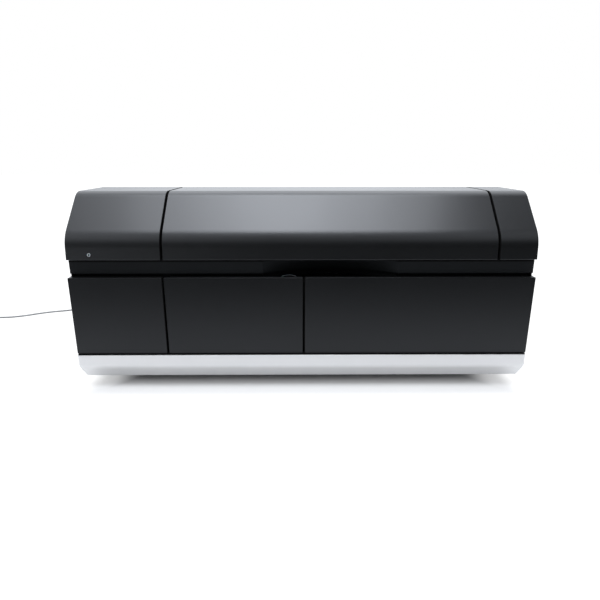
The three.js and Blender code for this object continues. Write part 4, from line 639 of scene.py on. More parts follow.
def in_joint(face):
    """An upright face in a joint between neighbouring panels or covers, rounded edges included, to be painted
    black as shade.
    """
    return abs(face.normal.x) > SEAM_LEAN and abs(face.center.x) < SIDE - HOOD_WALL - OVERRUN


# Cable: one line from the rear plug over the table to a tied coil beside the machine
def smooth(share):
    share = max(0, min(1, share))
    return share * share * (3 - 2 * share)


def coil_point(turn):
    """The coil spirals in on the table, climbs a layer at its inmost half turn and spirals out again."""
    past_middle = turn - COIL_TURNS / 2
    radius = COIL_INNER_RADIUS + TURN_PITCH * abs(past_middle)
    climb = smooth((past_middle + CLIMB_SHARE) / (2 * CLIMB_SHARE))
    angle = math.pi / 2 + 2 * math.pi * turn
    x = COIL_X + radius * math.cos(angle)
    y = COIL_Y + radius * math.sin(angle)
    return Vector((x, y, COIL_LOW + TURN_PITCH * climb))


def cable_points():
    lead = 2 * CABLE_RADIUS
    falling = [
        (PLUG.x - 0.002, 0.885, 0.118),
        (PLUG.x - 0.004, 0.899, 0.098),
        (PLUG.x - 0.008, 0.907, 0.070),
        (PLUG.x - 0.015, 0.912, 0.042),
        (PLUG.x - 0.028, 0.916, 0.019),
        (PLUG.x - 0.048, 0.918, 0.007),
        (PLUG.x - 0.075, 0.916, 0.0032),
    ]
    lying = [(-0.560, 0.899), (-0.600, 0.869), (-0.632, 0.825), (-0.654, 0.770), (-0.671, 0.707)]
    lying += [(-0.690, 0.648), (-0.715, 0.598), (-0.745, 0.567), (-0.775, 0.552), (-0.804, 0.542)]
    lying += [(-0.832, 0.531), (-0.858, 0.516), (-0.880, 0.502), (-0.903, 0.490), (-0.930, 0.482)]
    rising = [(-0.960, 0.4795, 0.0028), (-0.990, 0.480, 0.0032)]
    places = falling + [(x, y, CABLE_LEVEL) for x, y in lying] + rising
    points = [Vector((PLUG.x, CABLE_EXIT + step * lead, PLUG.z)) for step in (0, 1)]
    points += [Vector((x, FACE + y, z)) for x, y, z in places]
    points += [coil_point(0) + Vector((reach * lead, 0, 0)) for reach in (2, 1)]
    count = COIL_TURNS * COIL_STEPS
    points += [coil_point(COIL_TURNS * step / count) for step in range(count + 1)]
    end = coil_point(COIL_TURNS)
    drop = end.z - middle("far_plug").z
    tail_steps = round(TAIL_LENGTH / lead)
    for step in range(1, tail_steps + 1):
        share = step / tail_steps
        fall = drop * smooth((share - TAIL_LEVEL_SHARE) / (1 - TAIL_LEVEL_SHARE))
        points.append(Vector((end.x - share * TAIL_LENGTH, end.y, end.z - fall)))
    return points


def above_table(place):
    return Vector((place.x, place.y, max(place.z, CABLE_RADIUS)))


def cable():
    points = cable_points()
    curve = bpy.data.curves.new("cable_line", "CURVE")
    curve.dimensions = "3D"
    curve.bevel_depth = CABLE_RADIUS
    curve.bevel_resolution = 5
    curve.resolution_u = 6
    curve.use_fill_caps = True
    spline = curve.splines.new("BEZIER")
    spline.bezier_points.add(len(points) - 1)
    for index, point in enumerate(points):
        before = points[max(index - 1, 0)]
        after = points[min(index + 1, len(points) - 1)]
        into = (point - before).length
        out = (after - point).length
        forward = (after - before).normalized()
        if into > 0 and out > 0:
            forward = ((point - before) / into * out + (after - point) / out * into).normalized()
        knot = spline.bezier_points[index]
        knot.co = point
        knot.handle_left_type = knot.handle_right_type = "FREE"
        knot.handle_left = above_table(point - forward * into / 3)
        knot.handle_right = above_table(point + forward * out / 3)
    line = in_scene("cable", curve)
    curve.materials.append(FINISHES["cable"])
    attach(line, "housing")
    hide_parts("cable_run", "cable_coil")
    return line


def boot(name, base, axis):
    """Tapered strain relief with moulded rings, from the plug outwards."""
    taper = BOOT_TIP - BOOT_RADIUS
    groove = BOOT_RADIUS / 10
    profile = [(0, -CABLE_RADIUS), (BOOT_RADIUS, -CABLE_RADIUS), (BOOT_RADIUS, 0)]
    for rib in range(BOOT_RIBS):
        start = (rib + RIB_START_SHARE) / BOOT_RIBS
        end = (rib + 1) / BOOT_RIBS
        wide = BOOT_RADIUS + taper * start
        narrow = BOOT_RADIUS + taper * end
        profile += [(wide, start * BOOT_LENGTH), (wide - groove, start * BOOT_LENGTH + groove)]
        profile += [(narrow - groove, end * BOOT_LENGTH - groove), (narrow, end * BOOT_LENGTH)]
    profile.append((0, BOOT_LENGTH))
    return lathe(name, profile, base, axis, 40)


def data_plug():
    x, y, z = spans("data_plug")
    tip = y[1] - BOOT_LENGTH
    body = block("data_plug_moulding", x, z, (y[0], tip), "Y", PLUG_CORNER)
    join(body, boot("data_plug_boot", (PLUG.x, tip, PLUG.z), "Y"))
    return dress(body, "cable", "data_plug", 0.0004)


def far_plug():
    x, y, z = spans("far_plug")
    centre = middle("far_plug")
    tip = x[1] - BOOT_LENGTH
    shell = (tip - x[0]) / 3
    body = block("far_plug_moulding", y, z, (x[0] + shell, tip), "X", PLUG_CORNER)
    join(body, boot("far_plug_boot", (tip, centre.y, centre.z), "X"))
    dress(body, "cable", "far_plug", 0.0004)
    inset = (z[1] - z[0]) / 5
    length = (x[0], x[0] + shell + inset)
    metal = block("far_plug_contact_shell", shrunk(y, inset / 2), shrunk(z, inset), length, "X", inset / 4)
    depth = (x[0] - inset, x[0] + shell - inset)
    cut(metal, block("mouth", shrunk(y, inset), shrunk(z, inset * 1.5), depth, "X"))
    dress(metal, "steel", edge=0.0002)
    return [body, metal]


def cable_tie():
    x, y, z = spans("cable_tie")
    ring = block("hook_and_loop_tie", y, z, x, "X", TIE_CORNER)
    cut(ring, block("tie_hole", shrunk(y, TIE), shrunk(z, TIE), grown(x, OVERRUN), "X", TIE_HOLE_CORNER))
    width = shrunk(x, (x[1] - x[0]) / 10)
    tail = block("tie_tail", (y[0] + TIE, y[1] - 3 * TIE), (z[1] - TIE / 3, z[1]), width, "X", TIE / 4)
    join(ring, tail)
    return dress(ring, "belt", "cable_tie", 0.0002)


line = cable()
with_cable = [data_plug(), cable_tie(), *far_plug()]


# Base
def level_ring(x, y, radius, z):
    return [Vector((*point, z)) for point in rectangle(x, y, radius)]


def tray_ring(share, z, inset=0.0, flange=0.0):
    """Outline of the base at a height; `share` is how far in the bevel has come there."""
    half_x = SIDE - share * BEVEL_SIDE - inset - flange
    half_y = -TRAY_FRONT - share * BEVEL_FRONT - inset - flange
    return level_ring((-half_x, half_x), (-half_y, half_y), TRAY_CORNER - inset, z)


def rolled(first, corner, last, steps=6):
    """Points of a soft bend between two places in a section, drawn towards its corner."""
    points = []
    for step in range(steps + 1):
        t = step / steps
        near, between, far = (1 - t) ** 2, 2 * t * (1 - t), t * t
        points.append(tuple(near * a + between * b + far * c for a, b, c in zip(first, corner, last)))
    return points


def silver_base():
    """Pan of painted metal: a bevelled lower edge all round, and a rim turned in whose upward faces are left
    matt black.
    """
    height = BEVEL_TOP - TRAY_BOTTOM
    foot = FOOT_ROLL / height
    fold = FOLD_ROLL / height
    section = rolled((1 + foot, TRAY_BOTTOM), (1, TRAY_BOTTOM), (1 - foot, TRAY_BOTTOM + FOOT_ROLL))
    section += rolled((fold, BEVEL_TOP - FOLD_ROLL), (0, BEVEL_TOP), (0, BEVEL_TOP + FOLD_ROLL), 8)
    rings = [tray_ring(share, z) for share, z in section]
    for angle in quarter(5):
        level = TRAY_TOP - TRAY_EDGE * (1 - math.sin(angle))
        rings.append(tray_ring(0, level, flange=TRAY_EDGE * (1 - math.cos(angle))))
    rings += [tray_ring(0, z, SHEET, TRAY_RIM) for z in (TRAY_TOP, TRAY_TOP - SHEET)]
    rings += [tray_ring(0, z, SHEET) for z in (TRAY_TOP - SHEET, BEVEL_TOP)]
    rings.append(tray_ring(1, TRAY_BOTTOM + SHEET, SHEET))
    tray = loft("silver_base", rings)
    dress(tray, "silver", "base_tray")
    # The rim's upward faces are left matt black, which darkens the gap line under the panels
    blacken(tray, lambda face: face.normal.z > LEVEL and face.center.z > TRAY_TOP - SEAT)


def rubber_feet():
    for node in [f"foot_{y}_{x}" for y in ("front", "rear") for x in ("left", "right")]:
        centre = middle(node)
        radius = high(node).x - centre.x
        top = high(node).z
        profile = [(0, 0)]
        for a in quarter(5):
            profile.append((radius - FOOT_CHAMFER * (1 - math.sin(a)), FOOT_CHAMFER * (1 - math.cos(a))))
        profile += [(radius, top / 2 - FOOT_GROOVE), (radius - FOOT_GROOVE, top / 2)]
        profile += [(radius, top / 2 + FOOT_GROOVE), (radius, top), (0, top)]
        foot = lathe(f"{node}_rubber", profile, (centre.x, centre.y, 0), count=72)
        dress(foot, "rubber", node)


# Front panels and door
def panel_shell(name, x):
    """A moulded panel: rounded corners, a softly rolled front edge and returns that reach back."""

    def ring(inset, y):
        radius = max(PANEL_CORNER - inset, PANEL_CORNER / 4)
        section = rectangle(shrunk(x, inset), (PANEL_BOTTOM + inset, PANEL_TOP - inset), radius)
        return [Vector((point.x, y, point.y)) for point in section]

    rings = []
    for a in quarter(6):
        rings.append(ring(PANEL_EDGE * (1 - math.sin(a)), FACE + PANEL_EDGE * (1 - math.cos(a))))
    rings += [ring(0, FACE + PANEL_DEPTH), ring(SHEET, FACE + PANEL_DEPTH), ring(SHEET, FACE + PANEL_SKIN)]
    return loft(name, rings)


def front_panels():
    for node in ("left_front_panel", "right_front_panel"):
        panel = panel_shell(f"{node}_moulding", spans(node)[0])
        dress(panel, "panel", node)
        # Painted shade: the faces in the joints are matt black
        blacken(panel, in_joint)


def filter_door():
    pin = middle("door_hinge_pin")
    x = spans("filter_door")[0]
    door = panel_shell("filter_door_moulding", x)
    returns = (FACE + PANEL_SKIN, FACE + PANEL_DEPTH + OVERRUN)
    height = (PANEL_BOTTOM - OVERRUN, PANEL_TOP + OVERRUN)
    cut(door, block("return_cut", (x[0] - OVERRUN, pin.x), returns, height, "Z"))
    for z0 in (SHELF_TOP - DOOR_TAB - SEAT - DOOR_LUG, low("front_frame").z + FRAME_SILL + SEAT):
        lug = (z0, z0 + DOOR_LUG)
        knuckle = prism("knuckle", circle(pin.x, pin.y, DOOR_BARREL, 40), lug, "Z")
        width = (pin.x - DOOR_BARREL, pin.x + DOOR_BARREL)
        join(door, knuckle, block("arm", width, (FACE + PANEL_SKIN - LUG_BITE, pin.y), lug, "Z"))
    bore = circle(pin.x, pin.y, DOOR_PIN_ROOM, 40)
    cut(door, prism("pin_bore", bore, (PANEL_BOTTOM + SHEET, PANEL_TOP - SHEET), "Z"))
    dress(door, "panel", "filter_door", 0.0002, 2, body="door")
    # Painted shade: the faces in the joints are matt black
    blacken(door, in_joint)


def power_button():
    first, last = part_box("power_ring")
    centre = middle("power_ring")
    radius = (last.x - first.x) / 2
    cap_low, cap_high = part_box("power_button")
    cap_radius = (cap_high.x - cap_low.x) / 2
    inner = cap_radius + SEAT
    height = last.z - first.z
    roll = height / 5
    profile = [(inner, 0), (radius, 0)]
    for a in quarter(3):
        profile.append((radius - roll * (1 - math.cos(a)), height - roll * (1 - math.sin(a))))
    profile += [(inner + roll, height), (inner, height - roll), (inner, 0)]
    ring = lathe("power_button_ring", profile, (centre.x, centre.y, first.z), count=96)
    # The ring's pale grey is partly its own tone and partly a painted glint along its top
    dress(ring, "light_ring", "power_ring")
    depth = cap_high.z - cap_low.z
    dish = height / 6
    cap = [(0, 0), (cap_radius, 0), (cap_radius, depth - dish * 2), (cap_radius - dish / 2, depth - dish / 2)]
    cap += [(cap_radius - dish * 1.5, depth), (cap_radius * 0.7, depth - dish / 2)]
    cap += [(cap_radius * 0.4, depth - dish), (0, depth - dish * 1.2)]
    button = lathe("power_button_cap", cap, (centre.x, centre.y, cap_low.z), count=96)
    dress(button, "panel", "power_button", material=BUTTON_BLACK, body="button")


# Neck and deck
def neck_edge(shift, offset):
    """Front edge of the neck in plan, moved straight back by `shift` and square to itself by `offset`."""
    centre_y = NECK_FACE + shift + RECESS_DEPTH - RECESS_RADIUS
    radius = RECESS_RADIUS + offset
    straight = NECK_FACE + shift + offset
    end = math.acos((straight - centre_y) / radius)
    points = [Vector((-SIDE, straight))]
    for step in range(RECESS_STEPS + 1):
        angle = -end + 2 * end * step / RECESS_STEPS
        points.append(Vector((RECESS_CENTRE + radius * math.sin(angle), centre_y + radius * math.cos(angle))))
    points.append(Vector((SIDE, straight)))
    return points


def neck_ribbon(name, front, rear, span):
    """A wall along the neck's edge; `front` and `rear` are each (shift, offset)."""
    return prism(name, neck_edge(*front) + neck_edge(*rear)[::-1], span, "Z")


def neck_band():
    ledge_top = NECK_BOTTOM + SHEET
    upper = neck_ribbon("neck_band", (0, 0), (0, SHEET), (NECK_BOTTOM, STAGE_TOP))
    ledge = neck_ribbon("neck_ledge", (0, 0), (NECK_GROOVE, SHEET), (NECK_BOTTOM, ledge_top))
    skirt_height = (SHELF_TOP + SEAT, ledge_top)
    skirt = neck_ribbon("neck_skirt", (NECK_GROOVE, 0), (NECK_GROOVE, SHEET), skirt_height)
    join(upper, ledge, skirt)
    height = (SHELF_TOP, NECK_BOTTOM + OVERRUN)
    corners = []
    for side in (-1, 1):
        width = sorted((side * (SIDE + OVERRUN), side * (SIDE - SHEET - SEAT)))
        corners.append(block("corner", width, (NECK_FACE + SHEET, REAR), height, "Z"))
    cut(upper, *corners)
    dress(upper, "neck", "neck_fascia", 0.0005)
    # Painted shadow of the lid's lip: a thin matt black strip proud of the band's top
    lip_shadow_strip = neck_ribbon("neck_lip_shadow_strip", (-SEAT, 0), (0, SHEET / 2), (STAGE_TOP - LIP_SHADOW_HEIGHT, STAGE_TOP))
    dress(lip_shadow_strip, "rubber", material=SEAM_AND_SHADE_BLACK)


def deck():
    plan = neck_edge(0, 0) + [Vector((SIDE, REAR)), Vector((-SIDE, REAR))]
    plate = prism("deck_plate", plan, DECK, "Z")
    x, y, _ = spans("glass_stage")
    opening = (grown(x, GLASS_GAP), grown(y, GLASS_GAP), grown(DECK, OVERRUN))
    cut(plate, block("stage_opening", *opening, "Z", SHEET_CORNER))
    dress(plate, "neck", "top_deck", 0.0006)
    # Painted shade: the plate's upright edges, under the lip and round the glass, are matt black
    blacken(plate, lambda face: abs(face.normal.z) < LEVEL)


def glass_plate():
    plate = block("stage_glass", *spans("glass_stage"), "Z", GLASS_CORNER)
    dress(plate, "glass", "glass_stage", 0.0005)


# Sides and back
def side_panels():
    step = NECK_FACE + SHEET + SEAT
    for node in ("left_side_panel", "right_side_panel"):
        x, y, z = spans(node)
        lower = [(y[0], z[0], PANEL_CORNER), (y[1], z[0], PANEL_CORNER)]
        section = outline(lower + [(y[1], z[1]), (step, z[1]), (step, PANEL_TOP), (y[0], PANEL_TOP)])
        dress(prism(f"{node}_moulding", section, x, "X"), "panel", node, 0.0008)


def rear_slot(x, z, half_x, half_z):
    """A slot with round ends, cut through the rear panel."""
    radius = min(half_x, half_z) * ROUND_END_SHARE
    return block("slot", (x - half_x, x + half_x), (z - half_z, z + half_z), REAR_CUT, "Y", radius)


def rear_panel():
    x, y, z = spans("rear_panel")
    plate = block("rear_panel_sheet", x, z, y, "Y", SHEET_CORNER)
    fan = middle("fan_frame")
    window_x, _, window_z = [shrunk(span, PLATE_RIM) for span in spans("connector_plate")]
    tools = [block("plate_window", window_x, window_z, REAR_CUT, "Y", PLATE_CORNER)]
    for bar in range(GRILLE_BARS):
        offset = (bar - (GRILLE_BARS - 1) / 2) * 2 * FAN_BORE / GRILLE_BARS
        reach = math.sqrt(FAN_BORE**2 - offset**2) - GRILLE_SLOT / 2
        tools.append(rear_slot(fan.x, fan.z + offset, reach, GRILLE_SLOT / 2))
    for slot in range(VENT_SLOTS):
        vent_x = VENT_CENTRE + (slot - (VENT_SLOTS - 1) / 2) * VENT_WIDTH / VENT_SLOTS
        tools.append(rear_slot(vent_x, VENT_Z, GRILLE_SLOT / 2, VENT_HEIGHT / 2))
    cut(plate, *tools)
    dress(plate, "panel", "rear_panel", 0.0005, 2)
    rear_screws(fan)


def screw_head(x, z):
    """A domed screw head with a six-sided socket."""
    rim = 0.35
    dome = [(0, 0), (SCREW_RADIUS, 0), (SCREW_RADIUS, SCREW_HEIGHT * rim)]
    for a in quarter(4)[1:4]:
        dome.append((SCREW_RADIUS * math.cos(a) ** 0.7, SCREW_HEIGHT * (rim + (1 - rim) * math.sin(a))))
    dome.append((0, SCREW_HEIGHT))
    head = lathe("screw_head", dome, (x, REAR, z), "Y", 32)
    depth = (REAR + SCREW_HEIGHT / 2, REAR + 2 * SCREW_HEIGHT)
    return cut(head, prism("screw_socket", circle(x, z, SCREW_RADIUS * 0.45, 6), depth, "Y"))


def rear_screws(fan):
    x, _, z = [shrunk(span, SCREW_INSET) for span in spans("rear_panel")]
    heads = []
    for column in range(SCREW_COLUMNS):
        place = x[0] + (x[1] - x[0]) * column / (SCREW_COLUMNS - 1)
        heads += [screw_head(place, level) for level in z]
    reach = high("fan_frame").x - fan.x - PLATE_RIM
    heads += [screw_head(fan.x + across * reach, fan.z + up * reach) for across in (-1, 1) for up in (-1, 1)]
    dress(merge("rear_panel_screws", heads), "black_metal")


# Hood and lid
def hood_top(y):
    return HOOD_TOP - (y - FACE - RIDGE_BACK) * math.tan(REAR_FALL)


def hood_section(y0, y1, floor, inset=0.0):
    """Section of the hood between two places; the front end leans as the face where it starts at the lip."""
    lean = math.tan(FACE_SLOPE)
    rise = math.tan(FRONT_SLOPE)
    top = HOOD_TOP - inset
    fall_shift = inset / math.cos(REAR_FALL)

    def skin(y):
        return hood_top(y) - fall_shift

    def shrink(radius):
        return max(radius - inset, 0)

    if y0 <= LIP_FACE + SEAT:
        shift = inset / math.cos(FACE_SLOPE)
        start = FACE + TOP_EDGE_BACK + inset / math.sin(FRONT_SLOPE) - HOOD_TOP / rise

        def face_at(z):
            return LIP_FACE + shift + (z - HOOD_BOTTOM) * lean

        knee = (face_at(0) - start) / (1 / rise - lean)
        ridge = FACE + RIDGE_BACK - (fall_shift - inset) / math.tan(REAR_FALL)
        corners = [
            (face_at(floor), floor),
            (face_at(knee), knee, shrink(KNEE_RADIUS)),
            (start + top / rise, top, shrink(TOP_EDGE_RADIUS)),
            (ridge, top, shrink(RIDGE_RADIUS)),
        ]
    else:
        corners = [(y0 + inset, floor), (y0 + inset, skin(y0 + inset), shrink(CUT_EDGE_RADIUS))]
    radius = REAR_RADIUS if abs(y1 - REAR) < SEAT else CUT_EDGE_RADIUS
    corners += [(y1 - inset, skin(y1 - inset), shrink(radius)), (y1 - inset, floor)]
    return outline(corners, ARC_STEP / 2)


def hood_shell(name, node, back=REAR):
    x, y, _ = spans(node)
    shell = prism(name, hood_section(y[0], back, HOOD_BOTTOM), x, "X")
    hollow = hood_section(y[0], back, HOOD_BOTTOM - OVERRUN, HOOD_WALL)
    return soften(cut(shell, prism("hollow", hollow, shrunk(x, HOOD_WALL), "X")), HOOD_EDGE)


def hood_covers():
    light = middle("status_light")
    room = high("status_light").x - light.x + SEAT
    for side in ("left", "right", "rear"):
        node = f"{side}_hood_cover"
        cover = hood_shell(f"{side}_hood_moulding", node)
        if side == "left":
            hole = circle(light.x, light.z, room, 48)
            cut(cover, prism("light_hole", hole, (LIP_FACE - OVERRUN, light.y + OVERRUN), "Y"))
        dress(cover, "hood", node)
        if side != "rear":
            # Painted shade: the faces in the joints are matt black
            blacken(cover, in_joint)


def joint_seals():
    """Black foam strips sunk in the two fixed joints beside the rear cover."""
    rear_low, rear_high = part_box("rear_hood_cover")
    section = hood_section(rear_low.y + SHEET, REAR, HOOD_BOTTOM + SHEET, JOINT_INSET)
    joints = ((high("left_hood_cover").x, rear_low.x), (rear_high.x, low("right_hood_cover").x))
    for side, joint in zip(("left", "right"), joints):
        seal = prism(f"{side}_joint_seal", section, shrunk(joint, SEAT), "X")
        dress(seal, "rubber", None, 0.0004, 2, SEAM_AND_SHADE_BLACK)


def status_light():
    first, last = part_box("status_light")
    centre = middle("status_light")
    place = (centre.x, first.y, centre.z)
    radius = (last.x - first.x) / 2
    rim = radius / 6
    profile = [(0, last.y - first.y), (radius, last.y - first.y), (radius, rim), (radius - rim / 3, rim / 3)]
    profile += [(radius - rim, 0), (radius * 0.62, 0), (radius * 0.55, rim), (0, rim)]
    dress(lathe("status_light_ring", profile, place, "Y"), "light_ring", "status_light")
    core = radius * 0.52
    lens = [(0, rim * 1.2), (core, rim * 1.1), (core, rim), (core * 0.8, rim * 0.6), (0, rim * 0.4)]
    dress(lathe("status_light_lens", lens, place, "Y", 48), "panel", material=DARK_LENS)


def lid():
    hinge = middle("lid_hinge_shaft")
    back = hinge.y - BARREL_RADIUS - BARREL_GAP
    shell = hood_shell("lid_moulding", "lid_shell", back)
    depth = (back - HOOD_WALL / 2, hinge.y)
    height = (hinge.z - BARREL_RADIUS, hinge.z + BARREL_RADIUS / 2)
    lugs = []
    bores = []
    for node in ("lid_hinge_left", "lid_hinge_right"):
        inner, outer = grown(spans(node)[0], LUG_GAP)
        for lug in ((inner - LUG_WIDTH, inner), (outer, outer + LUG_WIDTH)):
            lugs.append(prism("barrel", circle(hinge.y, hinge.z, BARREL_RADIUS), lug, "X"))
            lugs.append(block("lug", lug, depth, height, "Z"))
            bores.append(prism("bore", circle(hinge.y, hinge.z, SHAFT_ROOM, 48), grown(lug, SEAT), "X"))
    join(shell, *lugs)
    cut(shell, *bores)
    dress(shell, "hood", "lid_shell", body="lid")
    # Painted shade: the faces in the joints are matt black
    blacken(shell, in_joint)


def lid_liner():
    """Inner pan of the lid, with shallow stiffening ribs pressed into it."""
    x, y, z = spans("lid_liner")
    inner = (shrunk(x, SHEET), shrunk(y, SHEET), PANEL_CORNER)
    rings = [level_ring(x, y, PANEL_CORNER, level) for level in z]
    rings += [level_ring(*inner, level) for level in (z[1], z[0] + SHEET)]
    pan = loft("lid_inner_pan", rings)
    glass_x, glass_y, _ = spans("glass_stage")
    pitch = (glass_x[1] - glass_x[0]) / LINER_RIBS
    depth = (z[0] - OVERRUN, z[0] + RIB_RISE)
    tools = []
    for rib in range(LINER_RIBS):
        centre = glass_x[0] + pitch * (rib + 0.5)
        width = (centre - pitch / 5, centre + pitch / 5)
        tools.append(block("rib", width, glass_y, depth, "Z", pitch / 5.5))
    cut(pan, *tools)
    dress(pan, "neck", "lid_liner", 0.0006, body="lid")


def lid_seal():
    """Soft foam rubber frame that closes round the glass, with a rounded face."""
    x, y, z = spans("lid_seal")

    def ring(inset, level, radius):
        return level_ring(shrunk(x, inset), shrunk(y, inset), radius, level)

    rings = []
    for a in quarter(8):
        inset = SEAL_WIDTH / 2 - math.cos(2 * a) * SEAL_WIDTH / 2
        level = z[0] + (z[1] - z[0]) * SEAL_ROLL_SHARE * (1 - math.sin(2 * a))
        rings.append(ring(inset, level, TRAY_CORNER - inset / 2))
    rings.append(ring(SEAL_WIDTH, z[1], TRAY_CORNER - SEAL_WIDTH / 2))
    rings.append(ring(0, z[1], TRAY_CORNER))
    rings.append(rings[0])
    dress(loft("lid_light_seal", rings, caps=False), "rubber", "lid_seal", body="lid")


# Inner pieces keep their solid's shape and get fine edges and a finish
def refine(node, finish, edge, material=None):
    source = frame["nodes"][node]
    bm = bmesh.new()
    bm.from_mesh(source.data)
    bmesh.ops.remove_doubles(bm, verts=bm.verts, dist=1e-6)
    bmesh.ops.dissolve_limit(bm, angle_limit=math.radians(0.5), verts=bm.verts, edges=bm.edges, delimit=set())
    dress(new_object(f"{node}_part", bm), finish, node, edge, 2, material, source["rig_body"])


INNER_PIECES = (
    ("black_metal", 0.0008, "chassis_plate"),
    ("steel", 0.0003, "door_hinge_pin"),
    ("steel", 0.0006, "door_catch"),
    ("cast_aluminium", 0.0008, "stage_frame"),
    ("steel", 0.0004, "left_bulkhead", "right_bulkhead", "rail_left", "rail_right"),
    ("cast_aluminium", 0.0008, "scan_carriage"),
    ("black_metal", 0.0012, "head_motor"),
    ("steel", 0.0003, "belt_pulley_drive", "belt_pulley_idle"),
    ("belt", 0.0002, "head_belt"),
    ("black_metal", 0.0008, "scan_head"),
    ("steel", 0, "lead_screw"),
    ("black_metal", 0.0012, "screw_motor"),
    ("laser", 0.0006, "laser_module_1", "laser_module_2"),
    ("black_metal", 0.0008, "detector_1"),
    ("steel", 0.0005, "filter_rail"),
    ("cast_aluminium", 0.0006, "filter_magazine"),
    ("steel", 0.0010, "power_supply"),
    ("board", 0.0002, "control_board"),
    ("black_metal", 0.0005, "fan_frame"),
    ("black_metal", 0.0002, "fan_rotor"),
    ("rubber", 0.0004, "connector_plate"),
    ("panel", 0.0006, "mains_switch"),
    ("black_metal", 0.0006, "lid_hinge_left", "lid_hinge_right"),
    ("black_metal", 0.0005, "lid_hinge_shaft"),
)


def inner_pieces():
    for finish, edge, *nodes in INNER_PIECES:
        for node in nodes:
            refine(node, finish, edge)
    # The frame behind the panels is matt black as painted shade, so the gaps between panels read dark
    refine("front_frame", "black_metal", 0.0004, SEAM_AND_SHADE_BLACK)
    refine("objective_lens", "glass", 0, DARK_LENS)


silver_base()
rubber_feet()
front_panels()
filter_door()
power_button()
neck_band()
deck()
glass_plate()
side_panels()
rear_panel()
hood_covers()
joint_seals()
status_light()
lid()
lid_liner()
lid_seal()
inner_pieces()


# Floor, room and lights
WHITE = (1, 1, 1, 1)
STUDIO_TINT = (0.91, 0.945, 1.0)
FLOOR_SIZE = 24
FLOOR_TONE = 0.60
OPEN_TONE = 0.25
SHADE_SIDE = 0.066
SHADE_INSIDE = 0.056
SHADE_OUTSIDE = 0.018
NEAR_GLOW = 0.395
FADE = 0.07
GLOSS_FAR = -1.35
GLOSS_NEAR = -0.6
GLOSS_DIM = 0.01
GLOSS_ASIDE = -0.8
GLOSS_BESIDE = -1.6
GLOSS_SIDE = 0.4
GLOSS_BRIGHT = 0.85


def mixed(tree, share, first, last):
    return wire(tree, "ShaderNodeMix", {0: share, 2: first, 3: last})


def floor_material():
    """White sweep: plain paper that keeps the lamps' shadow under the object, with a painted glow that rises
    round the base to pure white away from it and so sets the shadow's edge; reflections see the paper dim far
    in front.
    """
    material = bpy.data.materials.new("white_sweep")
    material.use_nodes = True
    tree = material.node_tree
    tree.nodes.clear()
    rays = add_node(tree, "ShaderNodeLightPath").outputs
    x, y, _ = coordinates(tree, "Object")
    beside = calc(tree, "SUBTRACT", calc(tree, "ABSOLUTE", x), SIDE - SHADE_SIDE)
    before = calc(tree, "SUBTRACT", calc(tree, "ABSOLUTE", y), -TRAY_FRONT)
    distance = calc(tree, "MAXIMUM", beside, before)
    # Painted glow: none under the object, rising round the base, which sets how far the shadow reaches
    near = graded(tree, distance, -SHADE_INSIDE, SHADE_OUTSIDE, 0, NEAR_GLOW)
    open_floor = graded(tree, distance, SHADE_OUTSIDE, FADE, 0, 1)
    glow = calc(tree, "ADD", near, product(tree, open_floor, 1 - NEAR_GLOW))
    ahead = graded(tree, y, GLOSS_FAR, GLOSS_NEAR, GLOSS_DIM, GLOSS_BRIGHT)
    aside = graded(tree, x, GLOSS_BESIDE, GLOSS_ASIDE, GLOSS_SIDE, 0)
    mirrored = calc(tree, "MAXIMUM", ahead, aside)
    direct = calc(tree, "MAXIMUM", rays["Is Camera Ray"], rays["Is Transmission Ray"])
    glossy = rays["Is Glossy Ray"]
    seen = calc(tree, "MAXIMUM", direct, product(tree, glossy, mirrored))
    tone = mixed(tree, glossy, FLOOR_TONE, product(tree, mirrored, FLOOR_TONE))
    shown = mixed(tree, product(tree, open_floor, rays["Is Camera Ray"]), tone, OPEN_TONE)
    colours = {0: glossy, 6: WHITE, 7: (*STUDIO_TINT, 1)}
    tint = wire(tree, "ShaderNodeMix", colours, 2, data_type="RGBA")
    paper = wire(tree, "ShaderNodeBsdfDiffuse", {"Color": shown})
    shine = wire(tree, "ShaderNodeEmission", {"Color": tint, "Strength": product(tree, glow, seen)})
    both = wire(tree, "ShaderNodeAddShader", {0: paper, 1: shine})
    add_node(tree, "ShaderNodeOutputMaterial", {"Surface": both})
    return material


def floor():
    half = FLOOR_SIZE / 2
    bm = bmesh.new()
    bm.faces.new([bm.verts.new((x * half, y * half, 0)) for x, y in ((-1, -1), (1, -1), (1, 1), (-1, 1))])
    sweep = new_object("white_sweep", bm)
    sweep.data.materials.append(floor_material())


ROOM_BACK = 1.1
BACK_MIDDLE = 1.4
ROOM_TOP = 0.25
ROOM_CROWN = 2.0
CROWN_ENDS = 0.3
ROOM_FRONT = 0.01
FRONT_LEFT = 0.12
FRONT_BAND = 0.8
FRONT_RIGHT = 0.6


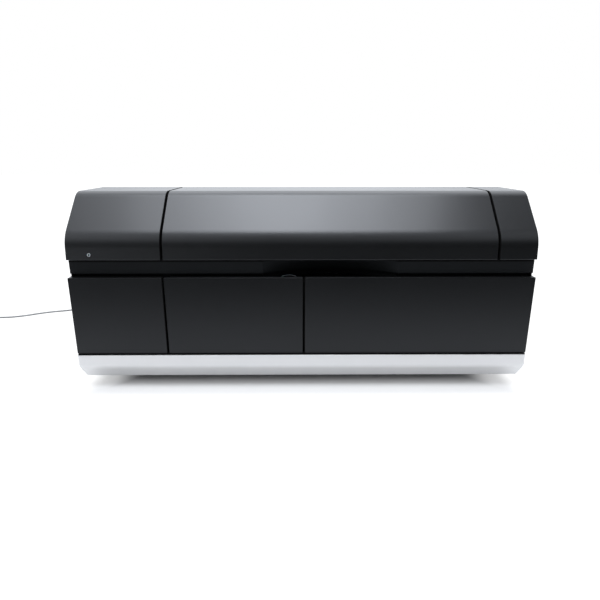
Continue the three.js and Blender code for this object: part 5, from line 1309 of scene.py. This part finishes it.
def world():
    """White for the camera; the room has a bright low horizon behind and a dimmer band high in front."""
    scene_world = bpy.data.worlds.new("studio")
    bpy.context.scene.world = scene_world
    scene_world.use_nodes = True
    tree = scene_world.node_tree
    tree.nodes.clear()
    rays = add_node(tree, "ShaderNodeLightPath").outputs
    x, y, z = coordinates(tree, "Generated")
    aside = calc(tree, "ABSOLUTE", x)
    behind = graded(tree, y, -0.6, 0.5, 0, ROOM_BACK)
    level = graded(tree, z, 0.6, 0.95, 1, ROOM_TOP)
    centre = graded(tree, y, 0.88, 1.0, 1, BACK_MIDDLE)
    crown = graded(tree, z, 0.45, 0.8, 0, ROOM_CROWN)
    over = graded(tree, y, 0.1, 0.35, 0, 1)
    narrow = graded(tree, aside, 0.12, 0.45, 1, CROWN_ENDS)
    rising = graded(tree, z, 0.3, 0.6, 0, 1)
    falling = graded(tree, z, 0.75, 0.92, 1, 0)
    wings = graded(tree, aside, 0.05, 0.4, FRONT_BAND / 3, FRONT_BAND)
    right = graded(tree, x, 0.1, 0.6, 1, FRONT_RIGHT)
    low_front = graded(tree, x, -0.5, 0.0, FRONT_LEFT, ROOM_FRONT)
    ahead = graded(tree, y, -0.5, 0.3, 1, 0)
    front = product(tree, calc(tree, "ADD", product(tree, rising, falling, wings, right), low_front), ahead)
    back = calc(tree, "ADD", product(tree, behind, level, centre), product(tree, crown, over, narrow))
    light = {"Color": (*STUDIO_TINT, 1), "Strength": calc(tree, "ADD", back, front)}
    room = wire(tree, "ShaderNodeBackground", light)
    shown = wire(tree, "ShaderNodeBackground", {"Color": WHITE, "Strength": 1.0})
    direct = calc(tree, "MAXIMUM", rays["Is Camera Ray"], rays["Is Transmission Ray"])
    both = wire(tree, "ShaderNodeMixShader", {0: direct, 1: room, 2: shown})
    add_node(tree, "ShaderNodeOutputWorld", {"Surface": both})


# Overhead softbox that is brightest in the middle: left end, right end and brightness of each layer
SOFTBOX_LAYERS = ((-0.31, 0.14, 1.55), (-0.52, 0.40, 1.5), (-0.83, 0.68, 2.1), (-1.20, 0.79, 1.2))
SOFTBOX_DEPTH = 1.05
SOFTBOX_BACK = -0.525
SOFTBOX_HEIGHT = 1.75


def lights():
    """The layers shine straight down, each a millimetre above the last."""
    for layer, (left, right, brightness) in enumerate(SOFTBOX_LAYERS):
        name = f"softbox_layer_{layer}"
        light = bpy.data.lights.new(name, "AREA")
        light.shape = "RECTANGLE"
        light.size = right - left
        light.size_y = SOFTBOX_DEPTH
        light.energy = brightness * math.pi * (right - left) * SOFTBOX_DEPTH
        light.color = STUDIO_TINT
        holder = in_scene(name, light)
        holder.location = ((left + right) / 2, SOFTBOX_BACK, SOFTBOX_HEIGHT + layer / 1000)


floor()
world()
lights()
bpy.context.scene.view_settings.view_transform = "Standard"
